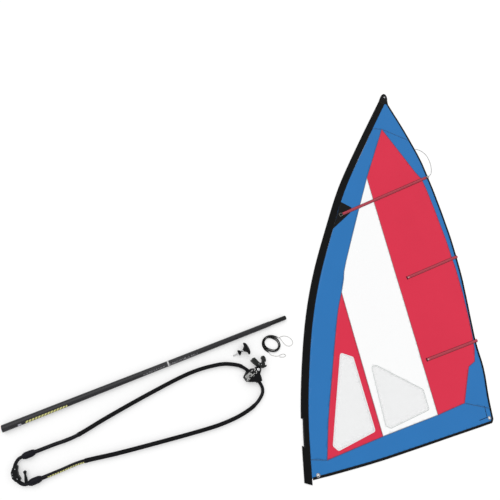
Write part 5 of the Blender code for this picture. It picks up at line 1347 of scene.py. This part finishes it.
head_plastic = moulded("boom_head_plastic", (0.0018, 0.0020, 0.0030), 0.52)
clamp_plastic = moulded("clamp_plastic", (0.0150, 0.0165, 0.0155), 0.55, 0.5)
cast_from("head_yoke", "head_yoke_moulding", head_plastic, 0.0050, 4, "root", "black_plastic")
cast_from("clamp_body", "clamp_body_moulding", clamp_plastic, 0.0022, 3, "head_clamp", "black_plastic")
cast_from("clamp_jaw", "clamp_jaw_moulding", clamp_plastic, 0.0018, 3, "jaw", "black_plastic")

clamp_ahead, clamp_aside = 0.015, 0.067
clamp_swing = math.radians(56.0)
clamp_floor_gap = 0.0013
clamp_height = 0.066
clamp_at = on_boom(-clamp_ahead, clamp_aside)
clamp_turn = boom_turn @ Matrix.Rotation(clamp_swing, 3, "Z")
bolt_top = boom_height + 0.0003
bolt_profile = [(0.0, -0.0259), (0.0042, -0.0259), (0.0050, -0.0250), (0.0050, bolt_top)]
bolt_profile += [(radius, bolt_top + rise) for radius, rise in (
    (0.0128, 0.0), (0.0138, 0.0006), (0.0140, 0.0016), (0.0139, 0.0036), (0.0132, 0.0051), (0.0116, 0.0060),
    (0.0048, 0.0060), (0.0045, 0.0057), (0.0044, 0.0022), (0.0, 0.0022))]
bolt_steel = metal("bolt_steel", (0.74, 0.75, 0.76), 0.24)
bolt = turn_piece("head_bolt_turned", bolt_profile, clamp_at, clamp_turn, bolt_steel, 48, 32.0, False)
fit(bolt, "head_clamp", "steel", "head_bolt")
clamp_top = clamp_floor_gap - boom_height + clamp_height
for number, side in enumerate((0.010, -0.014), start=1):
    screw_at = clamp_at + clamp_turn @ Vector((0.048, side, clamp_top))
    socket_screw(f"clamp_screw_{number}", screw_at, clamp_turn, 0.0042, "head_clamp")
line_front = Vector((-0.016, 0.066, 0.0))
line_back = Vector((-0.122, 0.030, 0.0))
line_way = (line_back - line_front).normalized()
line_side = Vector((-line_way.y, line_way.x, 0.0))
lashing_radius = 0.0045
lashing_height = boom_height + lashing_radius + 0.0003
lashing_runs = 5
lashing_pitch = 0.0105
lashing = []
for run in range(lashing_runs):
    away = 1.0 if run % 2 == 0 else -1.0
    lane = line_side * lashing_pitch * (2 - run)
    first, second = (line_front, line_back) if away > 0 else (line_back, line_front)
    lashing += [first + lane, first.lerp(second, 0.33) + lane * 1.03, first.lerp(second, 0.66) + lane * 0.97,
                second + lane]
    if run < lashing_runs - 1:
        turn_at = second + lane - line_side * lashing_pitch / 2
        lashing += [turn_at + (line_side * math.cos(a) + line_way * away * math.sin(a)) * lashing_pitch / 2
                    for a in (math.radians(45), math.radians(90), math.radians(135))]
lashing_cover = braid("lashing_cover", (0.004, 0.004, 0.0045), (0.022, 0.022, 0.024), 0.0170, 3, (0.90, 0.90, 0.88),
                      0.50, bulge=0.0008)
lashing_line = [head_at + boom_turn @ (p + Vector((0.0, 0.0, lashing_height))) for p in smooth_line(lashing, 6)]
lashing_rope = lay_rope("head_lashing", lashing_line, lashing_radius, lashing_cover, 20)
fit(lashing_rope, "root", "flecked_rope", "head_line")

# Mast foot: a moulded rubber disc that bolts to the board, a hub and a cup joined by a stainless cross, and a
# turned pin that snaps into the mast's base. It lies tipped over on the disc's rim.

disc_rim, disc_edge = 0.060, 0.016
rim_at, pin_radius = 0.150, 0.006
foot_back = 0.620
foot_to_mast = 0.127
foot_heading = math.radians(27.7)
foot_slope = math.atan2(disc_rim - pin_radius, rim_at - disc_edge)
foot_turn = Matrix.Rotation(foot_heading, 3, "Z") @ Matrix.Rotation(-foot_slope, 3, "Y")
foot_at = (mast_tip_at - mast_along * foot_back + mast_side * (mast_radius + foot_to_mast)
           + Vector((0.0, 0.0, pin_radius * math.cos(foot_slope))))
foot_axis = foot_turn @ along_x
disc_rubber = moulded("foot_disc_rubber", (0.0028, 0.0030, 0.0036), 0.66, 0.3, 420.0)
disc_profile = [
    (0.0058, 0.1610), (0.0270, 0.1610), (0.0290, 0.1606), (0.0340, 0.1599), (0.0400, 0.1584), (0.0460, 0.1564),
    (0.0520, 0.1520), (0.0556, 0.1488), (0.0582, 0.1450), (0.0595, 0.1405), (0.0600, 0.1360), (0.0595, 0.1345),
    (0.0580, 0.1340), (0.0520, 0.1341), (0.0400, 0.1341), (0.0366, 0.1343), (0.0354, 0.1346), (0.0058, 0.1346)]
disc = turn_piece("deck_disc_moulding", disc_profile, foot_at, foot_axis, disc_rubber, 96)
fit(disc, "root", "rubber", "deck_disc")
foot_plastic = moulded("mast_foot_plastic", (0.0055, 0.0055, 0.0062), 0.42)
joint_half = 0.0122
joint_at = 0.093
hub_from, cup_to = joint_at + joint_half, joint_at - joint_half
hub_profile = [
    (0.0, hub_from), (0.0112, hub_from), (0.0120, hub_from + 0.0007), (0.0150, hub_from + 0.0042),
    (0.0215, hub_from + 0.0114), (0.0300, 0.1262), (0.0322, 0.1280), (0.0336, 0.1306), (0.0340, 0.1330),
    (0.0340, 0.1340), (0.0055, 0.1342), (0.0055, 0.1588), (0.0036, 0.1590), (0.0034, 0.1562), (0.0, 0.1562)]
hub = turn_piece("deck_hub_moulding", hub_profile, foot_at, foot_axis, foot_plastic, closed=False)
fit(hub, "root", "black_plastic", "deck_hub")
cup_profile = [
    (0.0, cup_to), (0.0112, cup_to), (0.0121, cup_to - 0.0008), (0.0160, 0.0752), (0.0236, 0.0646),
    (0.0254, 0.0620), (0.0260, 0.0602), (0.0260, 0.0562), (0.0255, 0.0553), (0.0246, 0.0550), (0.0053, 0.0550),
    (0.0053, 0.0700), (0.0, 0.0700)]
cup = turn_piece("mast_cup_moulding", cup_profile, foot_at, foot_axis, foot_plastic, closed=False)
fit(cup, "cup", "black_plastic", "mast_cup")


def fork_ear(name, toward, side, turned, body):
    """One ear of a fork: a flat lug with a round end about the cross pin, standing on its own moulding."""
    half, inner, outer = 0.0035, 0.0075, 0.0105
    bpy.ops.object.select_all(action="DESELECT")
    bpy.ops.mesh.primitive_cylinder_add(vertices=32, radius=half, depth=outer - inner, location=(
        0.0, 0.0, side * (inner + outer) / 2))
    ear = bpy.context.object
    ear.name = name
    ear.data.name = name
    bpy.ops.object.transform_apply(location=True)
    for vertex in ear.data.vertices:
        if vertex.co.x * toward > 0.0001:
            vertex.co.x = toward * (joint_half + 0.0010)
            vertex.co.y = half if vertex.co.y > 0.0 else -half
    bpy.ops.object.mode_set(mode="EDIT")
    bpy.ops.mesh.select_all(action="SELECT")
    bpy.ops.mesh.remove_doubles(threshold=0.00001)
    bpy.ops.mesh.dissolve_limited(angle_limit=math.radians(1.0))
    bpy.ops.mesh.normals_make_consistent(inside=False)
    bpy.ops.object.mode_set(mode="OBJECT")
    rounding = ear.modifiers.new("rounding", "BEVEL")
    rounding.width = 0.0005
    rounding.segments = 2
    rounding.limit_method = "ANGLE"
    rounding.angle_limit = math.radians(50)
    apply_all(ear)
    quarter = Matrix.Rotation(math.pi / 2 if turned else 0.0, 3, "X")
    ear.matrix_world = (Matrix.Translation(foot_at + foot_turn @ Vector((joint_at, 0.0, 0.0)))
                        @ (foot_turn @ quarter).to_4x4())
    bpy.ops.object.transform_apply(location=True, rotation=True, scale=True)
    ear.data.materials.append(foot_plastic)
    smooth_by(ear, 35)
    fit(ear, body, "black_plastic")


for number, side in enumerate((1.0, -1.0), start=1):
    fork_ear(f"deck_hub_ear_{number}", 1.0, side, True, "root")
    fork_ear(f"mast_cup_ear_{number}", -1.0, side, False, "cup")
cast_from("joint_cross", "joint_cross_forging", fitting_steel, 0.0007, 2, "cross", "steel")
pin_steel = metal("foot_pin_steel", (0.60, 0.60, 0.61), 0.36)
pin_profile = [
    (0.0, 0.0697), (0.0044, 0.0697), (0.0050, 0.0691), (0.0050, 0.0547), (0.0057, 0.0546), (0.0060, 0.0542),
    (0.0060, 0.0222), (0.0056, 0.0218), (0.0042, 0.0200), (0.0042, 0.0140), (0.0056, 0.0122), (0.0060, 0.0118),
    (0.0060, 0.0014), (0.0056, 0.0004), (0.0048, 0.0), (0.0, 0.0)]
foot_pin = turn_piece("cup_pin_turned", pin_profile, foot_at, foot_axis, pin_steel, 48, 32.0, False)
fit(foot_pin, "pin", "steel", "cup_pin")
